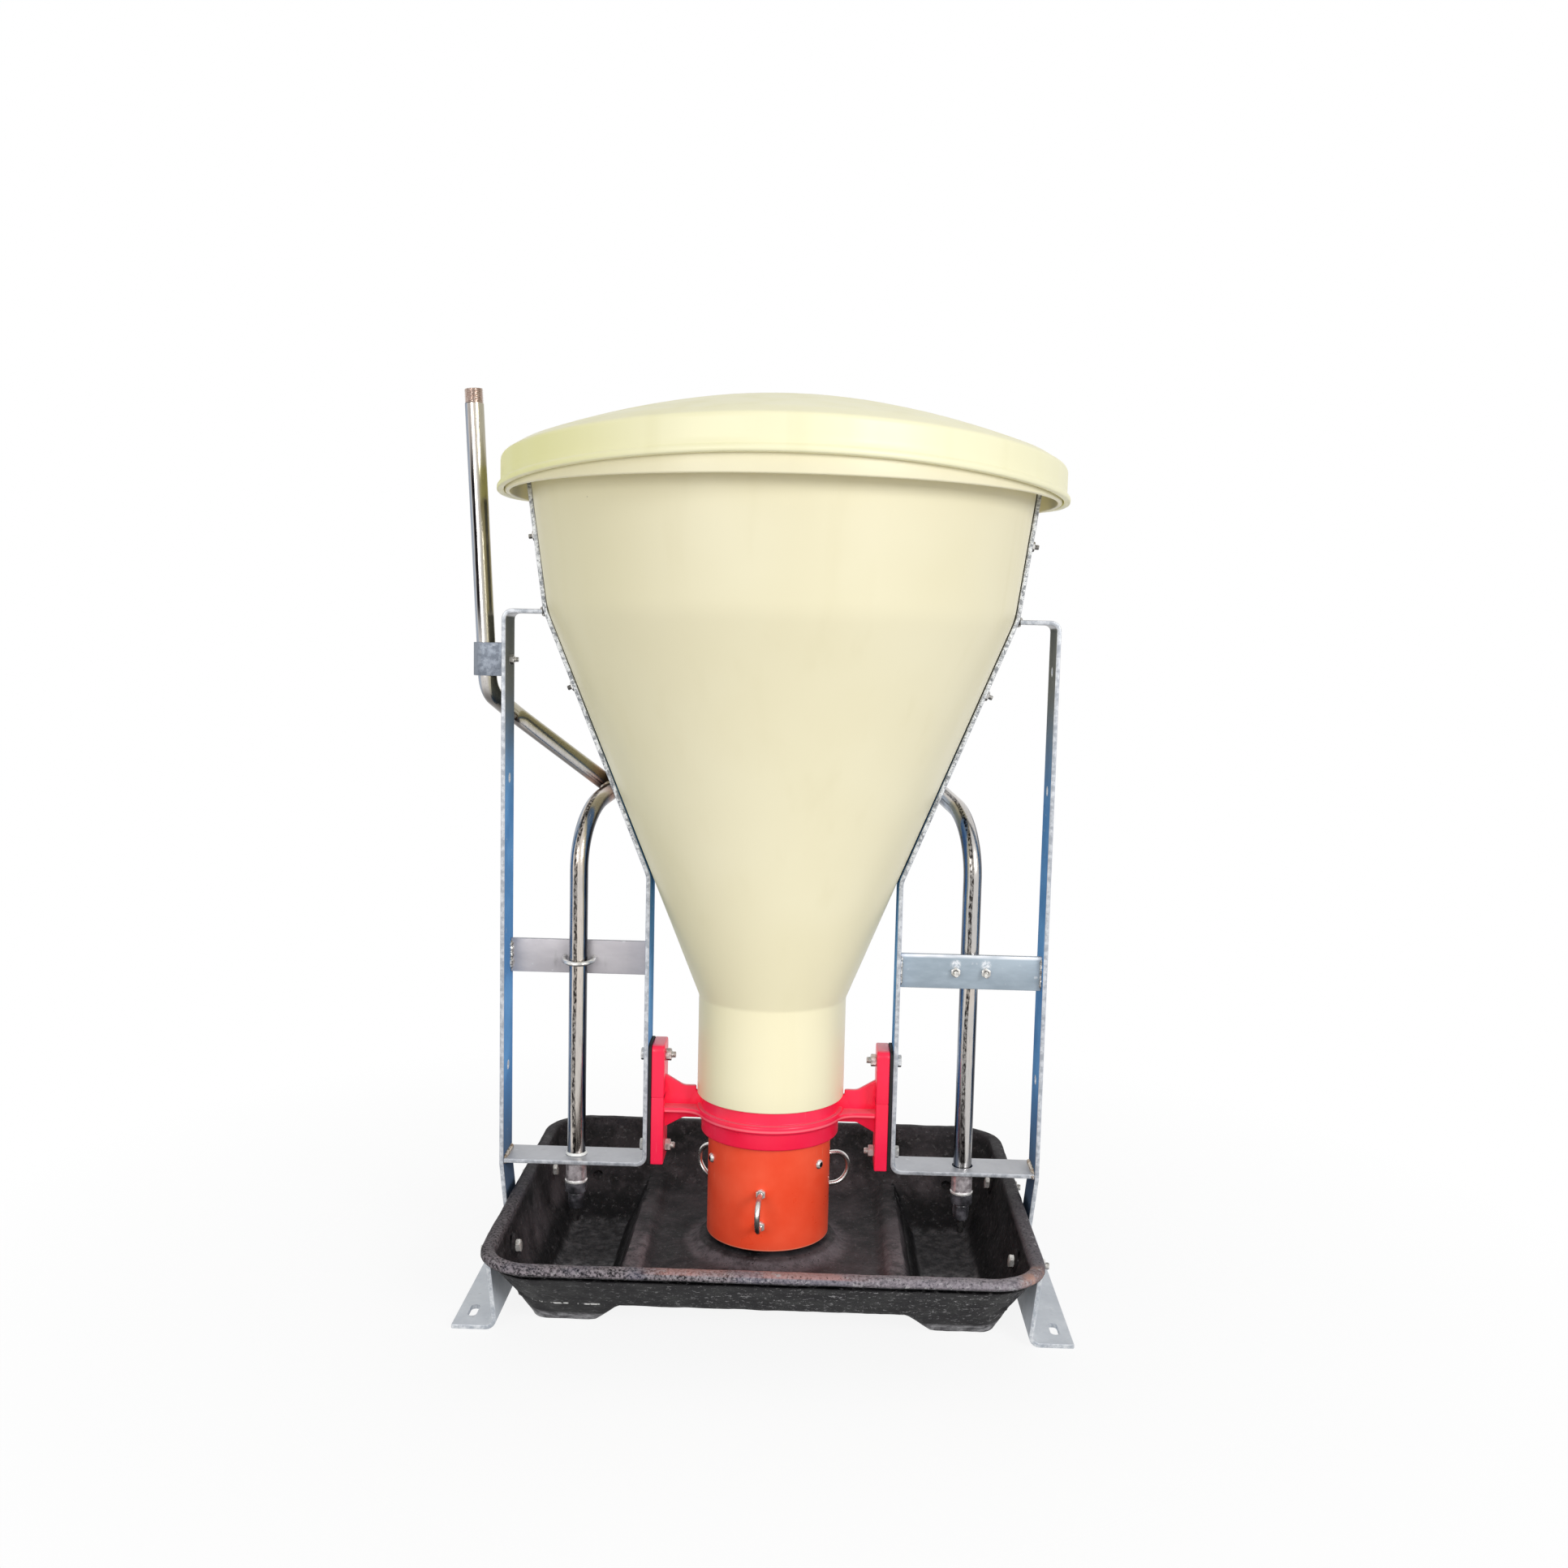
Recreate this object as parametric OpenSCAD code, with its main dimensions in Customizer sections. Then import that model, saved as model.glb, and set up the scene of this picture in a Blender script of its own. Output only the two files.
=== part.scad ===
// Dry and wet tube feeder for pigs: a plastic hopper hung between two welded side frames,
// a turning feed tube over a cast trough, and a water pipe with two nipple drinkers.
// The origin is on the floor under the feed axis, with X to the right and the front at -Y.

/* [Frame bars] */
// Width of every flat bar of the side frames
bar_w = 50; // [40:1:60]
// Thickness of every flat bar and of the base rails
bar_t = 5; // [4:0.5:6]
// Inside radius where a bar or rail is bent
bar_bend_r = 7; // [5:0.5:9]
// Distance from the feed axis to the outer face of each outer leg
leg_x = 316; // [306:1:330]
// Height of the underside of the lower bars
lower_bar_z = 144; // [139:1:149]
// Height of the lower edge of the cross bars
cross_bar_z = 365; // [340:1:400]
// Height of the cross bars' face
cross_bar_h = 40; // [30:1:50]
// Diameter of the open holes in the outer legs
leg_hole_d = 9; // [7:0.5:11]
// Height of the lower open hole in the outer legs
leg_hole_low_z = 255; // [230:1:280]
// Height of the upper open hole in the outer legs
leg_hole_high_z = 596; // [570:1:620]

/* [Base rails] */
// Length of each base rail, front to back
rail_l = 300; // [280:1:340]
// Width of the rail's floor flange
rail_flange_w = 51; // [45:1:60]
// Height of the rail's upright flange
rail_h = 90; // [80:1:95]
// Lean of the upright flange, in degrees
rail_lean = 6; // [5:0.5:7]
// How far the rail's corner lies inside the leg's outer face
rail_inset = 25; // [23:0.5:27]
// Length of an anchor slot
anchor_slot_l = 28; // [20:1:34]
// Width of an anchor slot
anchor_slot_w = 10; // [8:0.5:12]
// Distance between the two anchor slots of a rail
anchor_spacing = 228; // [200:1:240]
// Distance from the slots' middle line to the flange's outer edge
anchor_edge = 17; // [13:0.5:22]

/* [Hopper] */
// Wall of the hopper, measured level
hopper_wall = 5; // [4:0.5:6]
// Radius of the neck, outside
neck_r = 86; // [84:0.5:90]
// Height where the neck meets the cone
neck_top_z = 349; // [340:1:358]
// Radius of the break between the cone and the upper taper
break_r = 264; // [256:1:272]
// Height of the break between the cone and the upper taper
break_z = 791; // [780:1:800]
// Radius of the hopper's top, outside
hopper_top_r = 286; // [280:1:290]
// How far the turned-down rim stands out from the hopper's top
rim_out = 25; // [22:0.5:30]
// Drop of the turned-down rim
rim_drop = 35; // [28:1:38]
// Height of the rim's top
rim_top_z = 953; // [943:1:963]

/* [Lid] */
// Play between the rim and the lid's wall
lid_play = 1.5; // [1:0.25:2.5]
// How far the lid's lip stands out from its wall
lid_lip = 4; // [3:0.5:6]
// Height of the lid's wall, from the lip to the shoulder
lid_wall_h = 39; // [34:1:44]
// Rise of the dome above the shoulder
lid_dome_h = 64; // [50:1:80]
// Thickness of the lid
lid_t = 3.5; // [3:0.25:4]
// How far the soft lid droops at its sides and lifts at its front and back
lid_sag = 9.5; // [6:0.5:11]

/* [Collar] */
// Height of the middle of the collar's flange
collar_z = 212; // [209:0.5:215]
// Thickness of the end plates
plate_t = 15; // [12:0.5:18]
// Height of the end plates
plate_h = 143; // [140:1:150]
// Distance from the feed axis to the outer face of each end plate
plate_x = 138.7; // [134:0.1:144]
// Thickness of the rubber pad behind each end plate
pad_t = 4; // [3:0.5:5]
// Distance between the upper and the lower collar bolt
collar_bolt_spacing = 110; // [107:1:113]
// Thickness of the arms' upright rib
rib_t = 7; // [5:0.5:9]
// Thickness of the arms' level web
web_t = 6; // [5:0.5:8]

/* [Feed tube] */
// Radius of the drop tube, outside
tube_r = 72; // [70:0.5:73]
// Wall of the drop tube
tube_wall = 4; // [3:0.5:5]
// Length of the drop tube
tube_l = 184; // [176:1:196]
// Gap between the tube's lower edge and the feed mound
feed_gap = 5.5; // [3:0.5:12]
// Rod diameter of the handles
handle_rod_d = 6; // [5:0.5:7]
// Distance between the two legs of a handle
handle_spacing = 38; // [34:1:42]
// How far a handle stands out from the tube
handle_reach = 36; // [32:1:40]
// How much higher the two side handles sit than the front handle
side_handle_rise = 13; // [0:1:15]
// Turn of the front handle about the feed axis, in degrees
handle_turn = -5; // [-30:1:30]
// Diameter of the hanger rod
hanger_rod_d = 10; // [8:0.5:12]
// How far the tube can be pushed up, before its screws come near the collar
tube_lift = 20; // [15:1:24]

/* [Trough] */
// Height of the trough's rim
trough_h = 115; // [110:1:120]
// Half of the trough's depth, front to back, over the rim
trough_half_d = 248; // [240:1:256]
// Gap between the rim's ends and the outer legs
trough_end_gap = 11; // [9:0.5:14]
// Wall of the trough
trough_wall = 9; // [8:0.5:11]
// Floor of the trough
trough_floor = 11; // [9:0.5:13]
// Height of the rim's rounded band
trough_lip_h = 9; // [7:1:12]
// Height of the middle pan's floor
pan_z = 50; // [47:1:53]
// Height of the ridges beside the pan
ridge_z = 60; // [57:1:62]
// Height of the feed mound
mound_z = 60; // [56:0.5:62]
// Top radius of the feed mound
mound_r = 78; // [75:0.5:82]

/* [Water pipe] */
// Outside diameter of the water pipe
pipe_d = 21.3; // [20:0.1:22]
// Wall of the water pipe
pipe_wall = 2; // [1.5:0.25:2.5]
// Distance from the feed axis to each drinker
drinker_x = 229; // [222:1:236]
// Height of the corner where the pipe turns to the back
pipe_corner_z = 556; // [545:1:570]
// Bend radius of the water pipe
pipe_bend_r = 80; // [60:1:85]
// Distance of the rear run behind the feed axis
pipe_rear_y = 230; // [226:1:245]
// Height of the inlet's open end
inlet_top_z = 1037; // [1020:1:1050]
// Height of the inlet clamp
inlet_clamp_z = 733; // [728:1:738]
// Outside diameter of the inlet's pipe thread
inlet_thread_d = 20.955; // [20.955, 20.587]
// Length of the inlet's pipe thread
inlet_thread_l = 16; // [13:0.5:20]

/* [Drinkers] */
// Outside diameter of the pipe couplings
coupling_d = 27; // [26:0.5:29]
// Length of the pipe couplings
coupling_l = 28; // [24:1:32]
// Width across flats of the drinker's hexagon
drinker_af = 24; // [22:0.5:25]
// Height of the drinker's hexagon
drinker_hex_h = 12; // [10:0.5:14]
// Diameter of the drinker's round nose
drinker_nose_d = 19; // [18:0.5:21]
// Length of the drinker's round nose
drinker_nose_l = 20; // [17:0.5:22]
// Diameter of the drinker's pin
drinker_pin_d = 8; // [7:0.25:9]
// How far the drinker's pin stands out of the nose
drinker_pin_out = 17; // [14:0.5:19]

/* [Hidden] */
$fn = 64;
hull_fn = 32;

// Colours, as the object shows them
cream = "#efe9c8";
lid_cream = "#f2efc0";
red = "#f0244c";
orange = "#f0562e";
black = "#2c2b2b";
zinc = "#b9c2c9";
stainless = "#c8c4bd";
rubber_black = "#161616";

// Clearances shared by the pieces
overrun = 1;
seat_gap = 0.05;
slip_gap = 0.2;
run_gap = 0.3;
bolt_play = 0.5;
shaft_play = 0.05;

// Fastener sizes: thread diameter, width across flats, head height and nut height
m6 = [6, 10, 4, 5];
m8 = [8, 13, 5.5, 6.5];
m10 = [10, 17, 6.4, 8.4];
bolt_end = 5;

// Bent bar sizes
bar_bend_out = bar_bend_r + bar_t;
inner_leg_x = plate_x + pad_t;
leg_in_x = leg_x - bar_t;
lower_bar_top = lower_bar_z + bar_t;
lean_slope = tan(rail_lean);
lean_t = bar_t / cos(rail_lean);
rail_x = leg_x - rail_inset;
rail_out_x = rail_x + rail_flange_w;
leg_kink_z = (leg_in_x - rail_x - lean_t - seat_gap) / lean_slope;
leg_foot_share = 0.4;
leg_foot_z = rail_h * leg_foot_share;
anchor_x = rail_out_x - anchor_edge;
strap_reach = 15;
strap_top_z = rim_top_z - hopper_wall - strap_reach;
bend_steps = 8;

// Hopper profile
rim_r = hopper_top_r + rim_out;
upper_slope = (hopper_top_r - break_r) / (rim_top_z - break_z);
cone_slope = (break_r - neck_r) / (break_z - neck_top_z);
upper_angle = atan(upper_slope);
cone_angle = atan(cone_slope);
neck_lap = 20;
neck_bottom_z = collar_z + neck_lap;
strap_corner_z = neck_top_z + (inner_leg_x - slip_gap - neck_r) / cone_slope;
hopper_bolt_shares = [0.19, 0.52];
hopper_bolt_z = [
    break_z - hopper_bolt_shares[0] * (break_z - neck_top_z),
    break_z + hopper_bolt_shares[1] * (rim_top_z - break_z)
];
hopper_bolt_head = [14, 4];
hopper_bolt_seat = hopper_wall + slip_gap;

// Lid: a domed disc with a wall and a lip, which rests on the rim where it droops most
lid_wall_r = rim_r + lid_play + lid_t;
lid_r = lid_wall_r + lid_lip;
lid_lip_h = 8;
lid_shoulder_r = 7;
lid_shoulder_angle = 70;
lid_seat_gap = 0.5;
lid_seat_in_r = lid_shoulder_r - lid_t;
lid_seat_drop = lid_shoulder_r - sqrt(pow(lid_seat_in_r, 2) - pow(lid_seat_in_r - lid_play, 2));
lid_shoulder_z = rim_top_z + lid_seat_gap + lid_sag * pow(rim_r / lid_r, 2) + lid_seat_drop;
lid_lip_z = lid_shoulder_z - lid_wall_h;
lid_dome_power = 1.8;
lid_dome_shares = [0.2, 0.4, 0.6, 0.78, 0.9];
lid_steps = 72;
lid_shoulder_steps = 3;

// Collar
ring_r = neck_r - hopper_wall - slip_gap;
tube_play = 1.5;
ring_bore_r = tube_r + tube_play;
ring_up = 50;
ring_down = 25;
bead_h = 10;
bead_out = 6;
bead_r = ring_r + bead_out;
rib_z_shares = [-0.62, 0.855, -0.31, 0.565];
rib_span = 44;
rib_knee_share = 0.42;
web_half_w = 21;
web_fillet_r = 26;
plate_inset = 1;
plate_w = bar_w - 2 * plate_inset;
plate_corner_r = 8;
plate_up = 77.5;
plate_top_z = collar_z + plate_up;
plate_bottom_z = plate_top_z - plate_h;
plate_in_x = plate_x - plate_t;
collar_bolt_drop = 16.5;
collar_bolt_z = [plate_top_z - collar_bolt_drop - collar_bolt_spacing, plate_top_z - collar_bolt_drop];

// Feed tube and its hanger
tube_bottom_z = mound_z + feed_gap;
tube_top_z = tube_bottom_z + tube_l;
tube_in_r = tube_r - tube_wall;
handle_share = 0.27;
handle_z = tube_bottom_z + handle_share * tube_l;
handle_levels = [handle_z, handle_z + side_handle_rise, handle_z + side_handle_rise];
handle_tail = 14;
button_head = [11, 3.3];
screw_stop_gap = 1.6;
screw_z = collar_z - ring_down - screw_stop_gap - tube_lift - button_head[0] / 2;
handle_places = [handle_turn, handle_turn + 120, handle_turn - 120];
screw_places = [handle_turn - 60, handle_turn + 60, handle_turn + 180];
screw_l = 18;
spider_hub_d = 24;
spider_h = 16;
spider_arm_t = 12;
spider_arm_h = 14;
hanger_bar_w = 30;
hanger_bar_t = 6;
hanger_bar_up = 26;
hanger_bar_z = neck_top_z + hanger_bar_up;
hanger_bar_top = hanger_bar_z + hanger_bar_t;
hanger_washer = [26, 2];
hanger_tail = 12;
hanger_nut = [hanger_rod_d, m10[1], m10[2], m10[3]];
spider_bottom_z = screw_z - spider_h / 2;
foot_nut_z = spider_bottom_z - run_gap - m10[3];
hanger_rod_z = foot_nut_z - bolt_end;
hanger_rod_top = hanger_bar_top + hanger_washer[1] + m10[3] + hanger_tail;

// Trough: half lengths, half depths and heights of its outer and inner outlines
trough_half_l = leg_in_x - trough_end_gap;
trough_lip = 6;
trough_corner_r = 55;
trough_lip_z = trough_h - trough_lip_h;
trough_belly_share = 0.4;
trough_belly_z = trough_lip_z * trough_belly_share;
belly_l_share = 0.945;
belly_d_share = 0.7;
foot_l_share = 0.875;
foot_d_share = 0.495;
foot_corner_share = 0.3;
trough_wall_l = trough_half_l - trough_lip;
trough_wall_d = trough_half_d - trough_lip;
slope_wall_share = 1.35;
trough_slope_wall = trough_wall * slope_wall_share;
foot_in_share = 0.635;
foot_in_x = trough_half_l * foot_in_share;
underside_z = pan_z - trough_floor;
ridge_x_share = 0.5;
ridge_x = trough_half_l * ridge_x_share;
ridge_w = 18;
basin_slope_w = 20;
mound_flare = 17;
slab_t = 0.5;
wash_hole_d = 13;
wash_hole_share = 0.76;
wash_hole_x = trough_half_l * wash_hole_share;
wash_hole_z = 52;
trough_bolt_y_share = 0.79;
trough_bolt_y = rail_l / 2 * trough_bolt_y_share;
trough_bolt_z_share = 0.9;
trough_bolt_z = rail_h * trough_bolt_z_share;
trough_bolt_x = rail_x + trough_bolt_z * lean_slope;
trough_pad_r = 15;
trough_pad_h = 23;
trough_slot_l = 20;

// Water pipe
pipe_r = pipe_d / 2;
pipe_in_r = pipe_r - pipe_wall;
pipe_sides = 24;
sweep_ref = [1, 0, 1];
pipe_hole_play = 1.6;
pipe_hole_r = pipe_r + pipe_hole_play;
pipe_heading = 15;
pipe_rise_share = 0.2;
coupling_top_z = lower_bar_z - run_gap;
coupling_bottom_z = coupling_top_z - coupling_l;
pipe_end_z = coupling_bottom_z + coupling_l / 2;
pipe_turn_x = drinker_x - pipe_rear_y * tan(pipe_heading);
pipe_rear_z = pipe_corner_z + pipe_rear_y * pipe_rise_share;
water_route = [
    [-drinker_x, 0, pipe_end_z],
    [-drinker_x, 0, pipe_corner_z],
    [-pipe_turn_x, pipe_rear_y, pipe_rear_z],
    [pipe_turn_x, pipe_rear_y, pipe_rear_z],
    [drinker_x, 0, pipe_corner_z],
    [drinker_x, 0, pipe_end_z]
];
weld_share = 0.43;
inlet_weld = water_route[1] + weld_share * (water_route[2] - water_route[1]);
inlet_stand = 22;
inlet_lean = 3;
inlet_x = leg_x + inlet_stand;
inlet_drop = 37;
inlet_knee_z = inlet_clamp_z - inlet_drop;
inlet_pass_gap = 14;
inlet_pass_y = bar_w / 2 + pipe_d + inlet_pass_gap;
inlet_pass_drop = 30;
inlet_bend_r = 28;
inlet_route = [
    [-inlet_x - (inlet_top_z - inlet_clamp_z) * tan(inlet_lean), 0, inlet_top_z],
    [-inlet_x + inlet_drop * tan(inlet_lean), 0, inlet_knee_z],
    [-leg_x, inlet_pass_y, inlet_knee_z - inlet_pass_drop],
    inlet_weld
];

// Inlet clamp and U-bolts
clamp_h = 38;
clamp_t = 3;
clamp_play = 1.1;
clamp_in_r = pipe_r + clamp_play;
clamp_r = clamp_in_r + clamp_t;
u_rod_d = 5.5;
u_leg = 17.5;
u_z = cross_bar_z + cross_bar_h / 2;
u_in_r = u_leg - u_rod_d / 2;
u_centre_y = u_in_r - pipe_r - seat_gap;
cross_bar_y = pipe_r + seat_gap;
u_tail = 12;
u_nut = [u_rod_d, m6[1], m6[2], m6[3]];

// Drinkers
drinker_hex_z = coupling_bottom_z - drinker_hex_h;
drinker_nose_z = drinker_hex_z - drinker_nose_l;
drinker_thread_r = pipe_in_r;
drinker_bore_r = 6.5;
drinker_lip = 3;
drinker_lip_r = 4.5;
drinker_seat_up = 6;
drinker_seat_z = drinker_nose_z + drinker_seat_up;
drinker_seal_t = 1.2;
drinker_hole_r = drinker_pin_d / 2 + bolt_play;
pin_head_t = 3;
pin_head_r = drinker_bore_r - bolt_play;
drinker_top_z = pipe_end_z - run_gap;
spring_wire_r = 0.5;
spring_r = drinker_bore_r - bolt_play - 2 * spring_wire_r;
spring_turns = 6;
spring_steps = 12;
spring_sides = 6;
spring_z = drinker_seat_z + drinker_seal_t + seat_gap + pin_head_t + spring_wire_r + seat_gap;
spring_top_z = drinker_top_z - drinker_lip - spring_wire_r - seat_gap;

// Vector and outline helpers
function unit(v) = v / norm(v);
function backwards(list) = [for (i = [len(list) - 1:-1:0]) list[i]];
function arc(centre, r, a0, a1, steps) =
    [for (i = [0:steps]) centre + r * [cos(a0 + (a1 - a0) * i / steps), sin(a0 + (a1 - a0) * i / steps)]];
function side_of(u) = [-u[1], u[0]];
function step_in(path, i) = i > 0 ? unit(path[i] - path[i - 1]) : unit(path[1] - path[0]);
function step_out(path, i) = i < len(path) - 1 ? unit(path[i + 1] - path[i]) : step_in(path, i);

// A path's point moved to its left by a distance, mitred at the path's corners
function mitred(path, i, d) =
    let (a = side_of(step_in(path, i)), b = side_of(step_out(path, i)))
    path[i] + (a + b) * d / (1 + a * b);

// Outline of a strip of thickness t that lies to the left of a path
function strip(path, t) =
    concat(path, backwards([for (i = [0:len(path) - 1]) mitred(path, i, t)]));

// Radius of the hopper's outside at a height above the neck
function hopper_r(z) =
    z > break_z ? break_r + (z - break_z) * upper_slope : neck_r + (z - neck_top_z) * cone_slope;

// Both sides: the right one as drawn, the left one turned half round the feed axis
module on_side(left) {
    rotate([0, 0, left ? 180 : 0]) children();
}

module on_both_sides() {
    for (left = [true, false]) on_side(left) children();
}

// A child drawn along Z, turned to point along a vector
module along(v) {
    rotate([0, acos(v[2] / norm(v)), atan2(v[1], v[0])]) children();
}

// Placed around the feed axis, drawn with +X outward; 0 degrees is the front
module around(places) {
    for (place = places) rotate([0, 0, place - 90]) children();
}

module hexagon(af, h) {
    cylinder(h = h, d = af / cos(30), $fn = 6);
}

// Hexagon bolt along +Z: its head lies below zero, its shank reaches up to length
module hex_bolt(size, length) {
    translate([0, 0, -size[2]]) hexagon(size[1], size[2]);
    translate([0, 0, -size[2] / 2]) cylinder(h = length + size[2] / 2, d = size[0]);
}

// Hexagon nut standing on zero, bored for its bolt
module hex_nut(size) {
    difference() {
        hexagon(size[1], size[3]);
        translate([0, 0, -overrun]) cylinder(h = size[3] + 2 * overrun, d = size[0] + 2 * seat_gap);
    }
}

// Flat bar bent in the XZ plane, with its thickness to the left of the path
module flat_bar(path, t, w) {
    rotate([90, 0, 0]) linear_extrude(w, center = true) polygon(strip(path, t));
}

module rounded_rect(half_l, half_d, r) {
    square([2 * half_l, 2 * (half_d - r)], center = true);
    square([2 * (half_l - r), 2 * half_d], center = true);
    for (x = [-1, 1], y = [-1, 1]) translate([x * (half_l - r), y * (half_d - r)]) circle(r);
}

// Slot along Y, cut upward from zero
module slot(length, width, h) {
    for (y = [-1, 1]) translate([0, y * (length - width) / 2, 0]) cylinder(h = h, d = width);
    translate([-width / 2, (width - length) / 2, 0]) cube([width, length - width, h]);
}

// Tube along a route of points, with the same bend radius at each corner
function turn(route, i) = acos(unit(route[i] - route[i - 1]) * unit(route[i + 1] - route[i]));

// Place and direction at an angle into the bend at a corner of the route
function bend_station(route, i, bend, angle) =
    let (
        u = unit(route[i] - route[i - 1]),
        v = unit(route[i + 1] - route[i]),
        w = unit(v - (u * v) * u),
        c = route[i] - u * bend * tan(turn(route, i) / 2) + w * bend
    )
    [c + bend * (sin(angle) * u - cos(angle) * w), cos(angle) * u + sin(angle) * w];

function stations(route, bend) =
    let (last = len(route) - 1)
    concat(
        [[route[0], unit(route[1] - route[0])]],
        [for (i = [1:last - 1], j = [0:bend_steps])
            bend_station(route, i, bend, turn(route, i) * j / bend_steps)],
        [[route[last], unit(route[last] - route[last - 1])]]
    );

// Both faces of one quarter of the tube's skin, as two triangles
function skin(a, b, c, d) = [[a, b, c], [a, c, d]];

module swept_tube(route, bend, r, in_r) {
    path = stations(route, bend);
    last = len(path) - 1;
    n = pipe_sides;
    points = [
        for (s = path, radius = [r, in_r], k = [0:n - 1])
            let (x = unit(cross(s[1], sweep_ref)), y = cross(s[1], x), angle = 360 * k / n)
            s[0] + radius * (cos(angle) * x + sin(angle) * y)
    ];
    faces = [
        for (k = [0:n - 1]) let (m = (k + 1) % n, e = 2 * last * n) each concat(
            [[k, m, n + m, n + k], [e + m, e + k, e + n + k, e + n + m]],
            [for (i = [0:last - 1]) let (a = 2 * i * n, b = a + 2 * n)
                each skin(a + k, b + k, b + m, a + m)],
            [for (i = [0:last - 1]) let (a = 2 * i * n + n, b = a + 2 * n)
                each skin(a + m, b + m, b + k, a + k)]
        )
    ];
    polyhedron(points, faces);
}

// Side frames
module base_rail(left) {
    corner_x = rail_x + bar_bend_out * (1 + sin(rail_lean)) / cos(rail_lean);
    path = concat(
        [[rail_x + rail_h * lean_slope, rail_h]],
        arc([corner_x, bar_bend_out], bar_bend_out, 180 - rail_lean, 270, bend_steps),
        [[rail_out_x, 0]]
    );
    color(zinc) on_side(left) difference() {
        flat_bar(path, bar_t, rail_l);
        for (y = [-1, 1]) {
            translate([anchor_x, y * anchor_spacing / 2, -overrun])
                slot(anchor_slot_l, anchor_slot_w, bar_t + 2 * overrun);
            at_trough_bolt(y) translate([0, 0, -bar_t - overrun])
                cylinder(h = bar_t + 2 * overrun, d = m8[0] + 2 * bolt_play);
        }
    }
}

// Right-hand place of a trough bolt on the rail's inner face, with +Z into the trough
module at_trough_bolt(y) {
    translate([trough_bolt_x, y * trough_bolt_y, trough_bolt_z])
        rotate([0, rail_lean - 90, 0]) children();
}

module outer_leg(left) {
    top_x = break_r + slip_gap + bar_t / cos(upper_angle) + seat_gap;
    path = concat(
        [[top_x, break_z]],
        arc([leg_x - bar_bend_out, break_z - bar_bend_out], bar_bend_out, 90, 0, bend_steps),
        [[leg_x, leg_kink_z], [leg_x - (leg_kink_z - leg_foot_z) * lean_slope, leg_foot_z]]
    );
    color(zinc) on_side(left) difference() {
        flat_bar(path, -bar_t, bar_w);
        for (z = [leg_hole_low_z, leg_hole_high_z, inlet_clamp_z])
            translate([leg_in_x - overrun, 0, z]) rotate([0, 90, 0])
                cylinder(h = bar_t + 2 * overrun, d = leg_hole_d);
    }
}

// Inner face of the strap: down the hopper, down the inner leg and out along the lower bar
function strap_path() = concat(
    [
        [hopper_r(strap_top_z) + slip_gap, strap_top_z],
        [break_r + slip_gap, break_z],
        [inner_leg_x, strap_corner_z]
    ],
    arc([inner_leg_x + bar_bend_out, lower_bar_z + bar_bend_out], bar_bend_out, 180, 270, bend_steps),
    [[leg_in_x - seat_gap, lower_bar_z]]
);

// Right-hand place of a hopper bolt on the hopper's outside, with +Z outward
module at_hopper_bolt(z) {
    translate([hopper_r(z), 0, z])
        rotate([0, 90 + (z > break_z ? upper_angle : cone_angle), 0]) children();
}

module hopper_strap(left) {
    color(zinc) on_side(left) difference() {
        flat_bar(strap_path(), bar_t, bar_w);
        translate([drinker_x, 0, lower_bar_z - overrun])
            cylinder(h = bar_t + 2 * overrun, r = pipe_hole_r);
        for (z = hopper_bolt_z) at_hopper_bolt(z)
            translate([0, 0, -overrun]) cylinder(h = bar_t + 3 * overrun, d = m6[0] + 2 * bolt_play);
        for (z = collar_bolt_z) translate([inner_leg_x - overrun, 0, z]) rotate([0, 90, 0])
            cylinder(h = bar_t + 2 * overrun, d = m8[0] + 2 * bolt_play);
    }
}

module cross_bar(left) {
    start_x = inner_leg_x + bar_t + seat_gap;
    color(zinc) on_side(left) difference() {
        translate([start_x, -cross_bar_y - bar_t, cross_bar_z])
            cube([leg_in_x - seat_gap - start_x, bar_t, cross_bar_h]);
        for (x = [-u_leg, u_leg]) translate([drinker_x + x, -cross_bar_y + overrun, u_z])
            rotate([90, 0, 0]) cylinder(h = bar_t + 2 * overrun, d = u_rod_d + 2 * bolt_play);
    }
}

// Trough
module trough_slab(half_l, half_d, z, r) {
    translate([0, 0, z]) linear_extrude(slab_t) rounded_rect(half_l, half_d, r, $fn = hull_fn);
}

module basin_slab(x0, x1, half_d, z, r) {
    translate([(x0 + x1) / 2, 0, 0]) trough_slab((x1 - x0) / 2, half_d, z, r);
}

// Half depth of the trough's inside at a height, along its sloping front and back
function inside_d(z) =
    let (belly_d = trough_wall_d * belly_d_share, foot_d = trough_wall_d * foot_d_share)
    (z > trough_belly_z
        ? belly_d + (trough_wall_d - belly_d) * (z - trough_belly_z) / (trough_lip_z - trough_belly_z)
        : foot_d + (belly_d - foot_d) * z / trough_belly_z) - trough_slope_wall;

function inside_l(z) =
    let (belly_l = trough_wall_l * belly_l_share)
    belly_l - trough_wall
        + (trough_wall_l - belly_l) * (z - trough_belly_z) / (trough_lip_z - trough_belly_z);

module trough_outside() {
    hull() {
        trough_slab(trough_wall_l, trough_wall_d, trough_lip_z, trough_corner_r);
        trough_slab(trough_wall_l * belly_l_share, trough_wall_d * belly_d_share, trough_belly_z,
            trough_corner_r);
        trough_slab(trough_wall_l * foot_l_share, trough_wall_d * foot_d_share, 0,
            trough_corner_r * foot_corner_share);
    }
    translate([0, 0, trough_lip_z]) linear_extrude(trough_lip_h)
        rounded_rect(trough_half_l, trough_half_d, trough_corner_r + trough_lip);
}

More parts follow.
